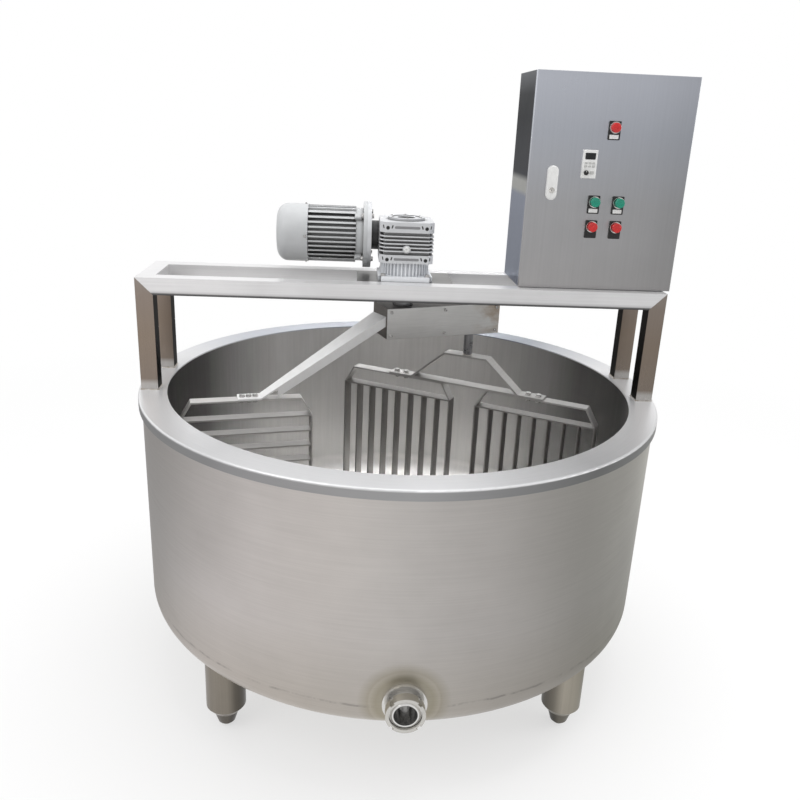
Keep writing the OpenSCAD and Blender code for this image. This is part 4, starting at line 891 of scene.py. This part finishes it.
def welds():
    """Beads round the posts, the legs, the jacket ports and the planet shaft's foot."""
    bm = bmesh.new()
    post_welds(bm)
    leg_welds(bm)
    port_welds(bm)
    make_piece("frame_welds", bm, "weld", "vat")
    yoke = bmesh.new()
    shaft_foot = Vector((PLANET.x, PLANET.y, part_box("planet_shaft")[0].z))
    add_bead(yoke, circle(shaft_foot, 15 * MM, 70), 2 * MM)
    make_piece("planet_weld", yoke, "weld", "planet")


# Door devices

PLUNGER_R = 8 * MM
CAP_R = 13.5 * MM
CAP_HEIGHT = 11 * MM
BUTTON_CROWN = [(13.5, 2), (13, 0.7), (12, 0), (10.5, 0.3), (5, 1.1), (0, 1.3)]
LENS_CROWN = [(13.5, 4), (12.5, 1.6), (9, 0.4), (0, 0)]

# Body and finish of each push button
buttons = {"start_button_left": ("start_left", "green"), "start_button_right": ("start_right", "green"),
           "stop_button_left": ("stop_left", "red"), "stop_button_right": ("stop_right", "red")}


def middle_of(node):
    low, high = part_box(node)
    return (low + high) / 2


def front_of(node):
    """Frame in the middle of a node's front face, with its +Y up."""
    middle = middle_of(node)
    return facing((middle.x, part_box(node)[0].y, middle.z), FRONT)


def plunger(node, crown):
    """A plunger and its cap in the place of a node. The crown is (radius, depth under the top) points in
    millimetres, from the cap's side inwards."""
    low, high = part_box(node)
    length = high.y - low.y
    under = length - CAP_HEIGHT
    profile = [(0, 0), (PLUNGER_R, 0), (PLUNGER_R, under), (CAP_R, under)]
    profile += [(radius, length - depth) for radius, depth in in_mm(crown)]
    middle = middle_of(node)
    bm = bmesh.new()
    add_lathe(bm, facing((middle.x, high.y, middle.z), FRONT), profile, 48)
    return bm


def push_buttons():
    """Crowned caps on their plungers, in place of the plain solids."""
    for node, (body, finish) in buttons.items():
        piece = make_piece(node + "_cap", plunger(node, BUTTON_CROWN), finish, body)
        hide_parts(node)


def lamp_lens():
    """Domed lens of the pilot lamp."""
    piece = make_piece("pilot_lamp_lens", plunger("pilot_lamp", LENS_CROWN), "red", "door")
    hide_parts("pilot_lamp")


def legend_plates():
    """Black plates behind the round devices, with blank white labels on the lamp and the start buttons."""
    plate_mm = 0.8
    plates = bmesh.new()
    labels = bmesh.new()
    for node in ("pilot_lamp", *buttons):
        middle = middle_of(node)
        at = facing((middle.x, DOOR_FACE - 2 * MM, middle.z - 8 * MM), FRONT)
        add_tile(plates, at, 35, 51, plate_mm, 2.5, 0.3)
        if "stop" not in node:
            add_tile(labels, at @ moved(0, -17 * MM, plate_mm * MM), 26, 11, 0.4, 1, 0.15)
    make_piece("legend_plates", plates, "black", "door")
    make_piece("blank_labels", labels, "white", "door")


def keypad_details():
    """Frame, display window and blank keys on the keypad's face, and a pointer line on the knob."""
    face = front_of("keypad")
    frame_mm = 1.6
    on_frame = face @ moved(0, 0, frame_mm * MM)
    shell = bmesh.new()
    add_tile(shell, face, 41, 77, frame_mm, 4, 1.2)
    make_piece("keypad_face", shell, "white", "door")
    window = bmesh.new()
    add_tile(window, on_frame @ moved(0, 22 * MM), 30, 18, 0.8, 2, 0.3)
    make_piece("keypad_display", window, "glass", "door")
    keys = bmesh.new()
    for row in range(2):
        for column in range(3):
            at = on_frame @ moved((column - 1) * 11 * MM, (3 - 9 * row) * MM)
            add_tile(keys, at, 8, 5.5, 1.4, 1.2, 0.5)
    add_tile(keys, on_frame @ moved(9 * MM, -23 * MM), 12, 9, 1.4, 2, 0.5)
    make_piece("keypad_keys", keys, "key", "door")
    knob_low, knob_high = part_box("speed_knob")
    knob_r = (knob_high.z - knob_low.z) / 2
    pointer = bmesh.new()
    add_tile(pointer, front_of("speed_knob") @ moved(0, 0.5 * knob_r), 1, 0.6 * knob_r / MM, 0.3, 0.4, 0.1)
    make_piece("knob_pointer", pointer, "white", "knob")


def lock_details():
    """Rounded cover on the lock handle, with its key barrel."""
    at = front_of("lock_handle")
    cover = bmesh.new()
    sizes = [(31.6, 95.6, -9.5), (31.6, 95.6, -2.5), (30.4, 94.4, -0.6), (27, 91, 0.9), (22, 86, 1.5)]
    add_loft(cover, at, [(rounded(w * MM, h * MM, w * MM / 2, 12), z * MM) for w, h, z in sizes])
    make_piece("lock_cover", cover, "white", "lock")
    barrel = bmesh.new()
    keyhole = at @ moved(0, -20 * MM, 1.5 * MM)
    add_lathe(barrel, keyhole, in_mm([(8, 0), (8, 1), (7, 1.6), (5, 1.6), (4.6, 1), (0, 1)]))
    make_piece("lock_barrel", barrel, "polished", "lock")
    # The keyhole is a thin black tile: painted shade of its slot
    slit = bmesh.new()
    add_tile(slit, keyhole @ moved(0, 0, 1 * MM), 1.6, 6, 0.2, 0.5, 0.05)
    make_piece("lock_keyhole_shade", slit, "black", "lock")


# Inside the cabinet

def inverter_details():
    """Face of the inverter, and its operating panel with a display and keys."""
    low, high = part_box("inverter")
    face_mm = 1.5
    panel_mm = 2
    at = facing((middle_of("inverter").x, low.y, high.z - 62 * MM), FRONT)
    on_face = at @ moved(0, 0, face_mm * MM)
    on_panel = on_face @ moved(0, 0, panel_mm * MM)
    face = bmesh.new()
    add_tile(face, at, 100, 112, face_mm, 4, 1)
    make_piece("inverter_face", face, "key", "vat")
    panel = bmesh.new()
    add_tile(panel, on_face @ moved(0, 14 * MM), 62, 66, panel_mm, 4, 0.8)
    make_piece("inverter_panel", panel, "black", "vat")
    shown = bmesh.new()
    add_tile(shown, on_panel @ moved(0, 32 * MM), 46, 18, 0.5, 1.5, 0.2)
    make_piece("inverter_display", shown, "glass", "vat")
    keys = bmesh.new()
    for row in range(2):
        for column in range(4):
            key = on_panel @ moved((column - 1.5) * 13 * MM, (10 - 13 * row) * MM)
            add_tile(keys, key, 9, 8, 1.2, 1.5, 0.5)
    make_piece("inverter_keys", keys, "key", "vat")


def contactor_details():
    """Faces, clips and terminal screws of the contactors."""
    count = 4
    width = 48 * MM
    face_mm = 1.5
    low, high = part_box("contactors")
    middle_z = middle_of("contactors").z
    pitch = (high.x - low.x - width) / (count - 1)
    faces = bmesh.new()
    screws = bmesh.new()
    for i in range(count):
        x = low.x + width / 2 + i * pitch
        at = facing((x, low.y, middle_z), FRONT)
        add_tile(faces, at, 42, 36, face_mm, 3, 1)
        add_tile(faces, at @ moved(0, 0, face_mm * MM), 16, 12, 2, 2, 0.6)
        for across in (-15 * MM, 0, 15 * MM):
            for rise in (-31 * MM, 31 * MM):
                add_screw(screws, at @ moved(across, rise, -28 * MM), 5 * MM)
    make_piece("contactor_faces", faces, "grey", "vat")
    make_piece("contactor_terminals", screws, "bolt", "vat")


# Stage

# Painted reflections: brightness that the floor shows only in the steel, round from the rear over the left,
# the front and the right
FLOOR_REFLECTION_STOPS = [(0.0, grey(0.75)), (0.14, grey(0.36)), (0.23, grey(0.48)), (0.335, (0.93, 0.91, 0.92)),
               (0.43, (0.94, 0.92, 0.91)), (0.5, grey(0.87)), (0.59, grey(0.66)),
               (0.68, (0.42, 0.43, 0.415)), (0.78, (0.50, 0.51, 0.49)), (0.84, (0.74, 0.75, 0.71)),
               (1.0, grey(0.75))]


def make_floor():
    """White floor that keeps a soft shadow near the object, fades to plain white, and glows with painted
    reflections that show uneven in the steel."""
    bpy.ops.mesh.primitive_circle_add(vertices=96, radius=40, fill_type="NGON")
    floor = bpy.context.object
    floor.name = "floor"
    material = bpy.data.materials.new("floor_white")
    material.use_nodes = True
    tree = material.node_tree
    far = calculate_vector(tree, "LENGTH", local_place(tree))
    fade = between(tree, far, 1.2, 4.0, 0.6, 1.0)
    path = add_node(tree, "ShaderNodeLightPath").outputs
    shown = calculate(tree, "MULTIPLY", path["Is Camera Ray"], fade)
    matt = add_node(tree, "ShaderNodeBsdfDiffuse", {"Color": (*grey(0.86), 1)}).outputs["BSDF"]
    white = add_node(tree, "ShaderNodeEmission", {"Color": WHITE, "Strength": 1.0}).outputs["Emission"]
    mixed = add_node(tree, "ShaderNodeMixShader", {"Fac": shown, 1: matt, 2: white}).outputs["Shader"]
    room = ramp(tree, turn_share(tree), FLOOR_REFLECTION_STOPS)
    mirrored = add_node(tree, "ShaderNodeEmission", {"Color": room}).outputs["Emission"]
    inputs = {"Fac": path["Is Glossy Ray"], 1: mixed, 2: mirrored}
    surface = add_node(tree, "ShaderNodeMixShader", inputs).outputs["Shader"]
    set_inputs(tree, tree.nodes["Material Output"], {"Surface": surface})
    floor.data.materials.append(material)


def make_world():
    """White to the camera; a softer room, dimmer behind the camera and low down, lights and shows in the
    steel."""
    world = bpy.data.worlds.new("studio")
    bpy.context.scene.world = world
    world.use_nodes = True
    tree = world.node_tree
    depth = between(tree, along(tree, "Y", "Generated"), -0.9, 0.5, 0.42, 0.80)
    height = between(tree, along(tree, "Z", "Generated"), 0.0, 0.9, 0.0, 0.30)
    level = calculate(tree, "ADD", depth, height)
    path = add_node(tree, "ShaderNodeLightPath").outputs
    clear = calculate(tree, "MAXIMUM", path["Is Camera Ray"], path["Is Transmission Ray"])
    shine = calculate(tree, "MULTIPLY_ADD", path["Is Glossy Ray"], 0.15, clear, use_clamp=True)
    strength = add_node(tree, "ShaderNodeMix", {0: shine, 2: level, 3: 1.0}, data_type="FLOAT").outputs[0]
    set_inputs(tree, tree.nodes["Background"], {"Color": WHITE, "Strength": strength})


def add_softbox(name, place, target, width, height, power):
    light = bpy.data.lights.new(name, "AREA")
    light.shape = "RECTANGLE"
    light.size = width
    light.size_y = height
    light.energy = power
    lamp = bpy.data.objects.new(name, light)
    aim = (Vector(target) - Vector(place)).to_track_quat("-Z", "Y").to_matrix().to_4x4()
    lamp.matrix_world = Matrix.Translation(place) @ aim
    bpy.context.scene.collection.objects.link(lamp)
    return lamp


def make_lights():
    add_softbox("key_light", (-2.6, -2.2, 3.4), (0, 0, 0.9), 2.4, 2.4, 38)
    add_softbox("top_light", (0.4, 0.3, 4.2), (0, 0, 0.8), 3.0, 3.0, 68).visible_glossy = False
    add_softbox("side_light", (3.6, -0.4, 2.0), (0, 0, 0.9), 1.2, 2.6, 26)
    tank_light = add_softbox("tank_light", (0.1, 0.8, 3.4), (0.1, 0.42, TANK_FLOOR), 0.4, 0.4, 3)
    tank_light.data.spread = math.radians(26)
    tank_light.visible_glossy = False


make_camera()
make_floor()
make_world()
make_lights()
dress_solids()
harp_bolts()
arm_bolts()
cover_screws()
motor_fasteners()
gearbox_fasteners()
band_details()
hub_details()
gearbox_trim()
welds()
push_buttons()
lamp_lens()
legend_plates()
keypad_details()
lock_details()
inverter_details()
contactor_details()
bpy.context.scene.view_settings.view_transform = "Standard"
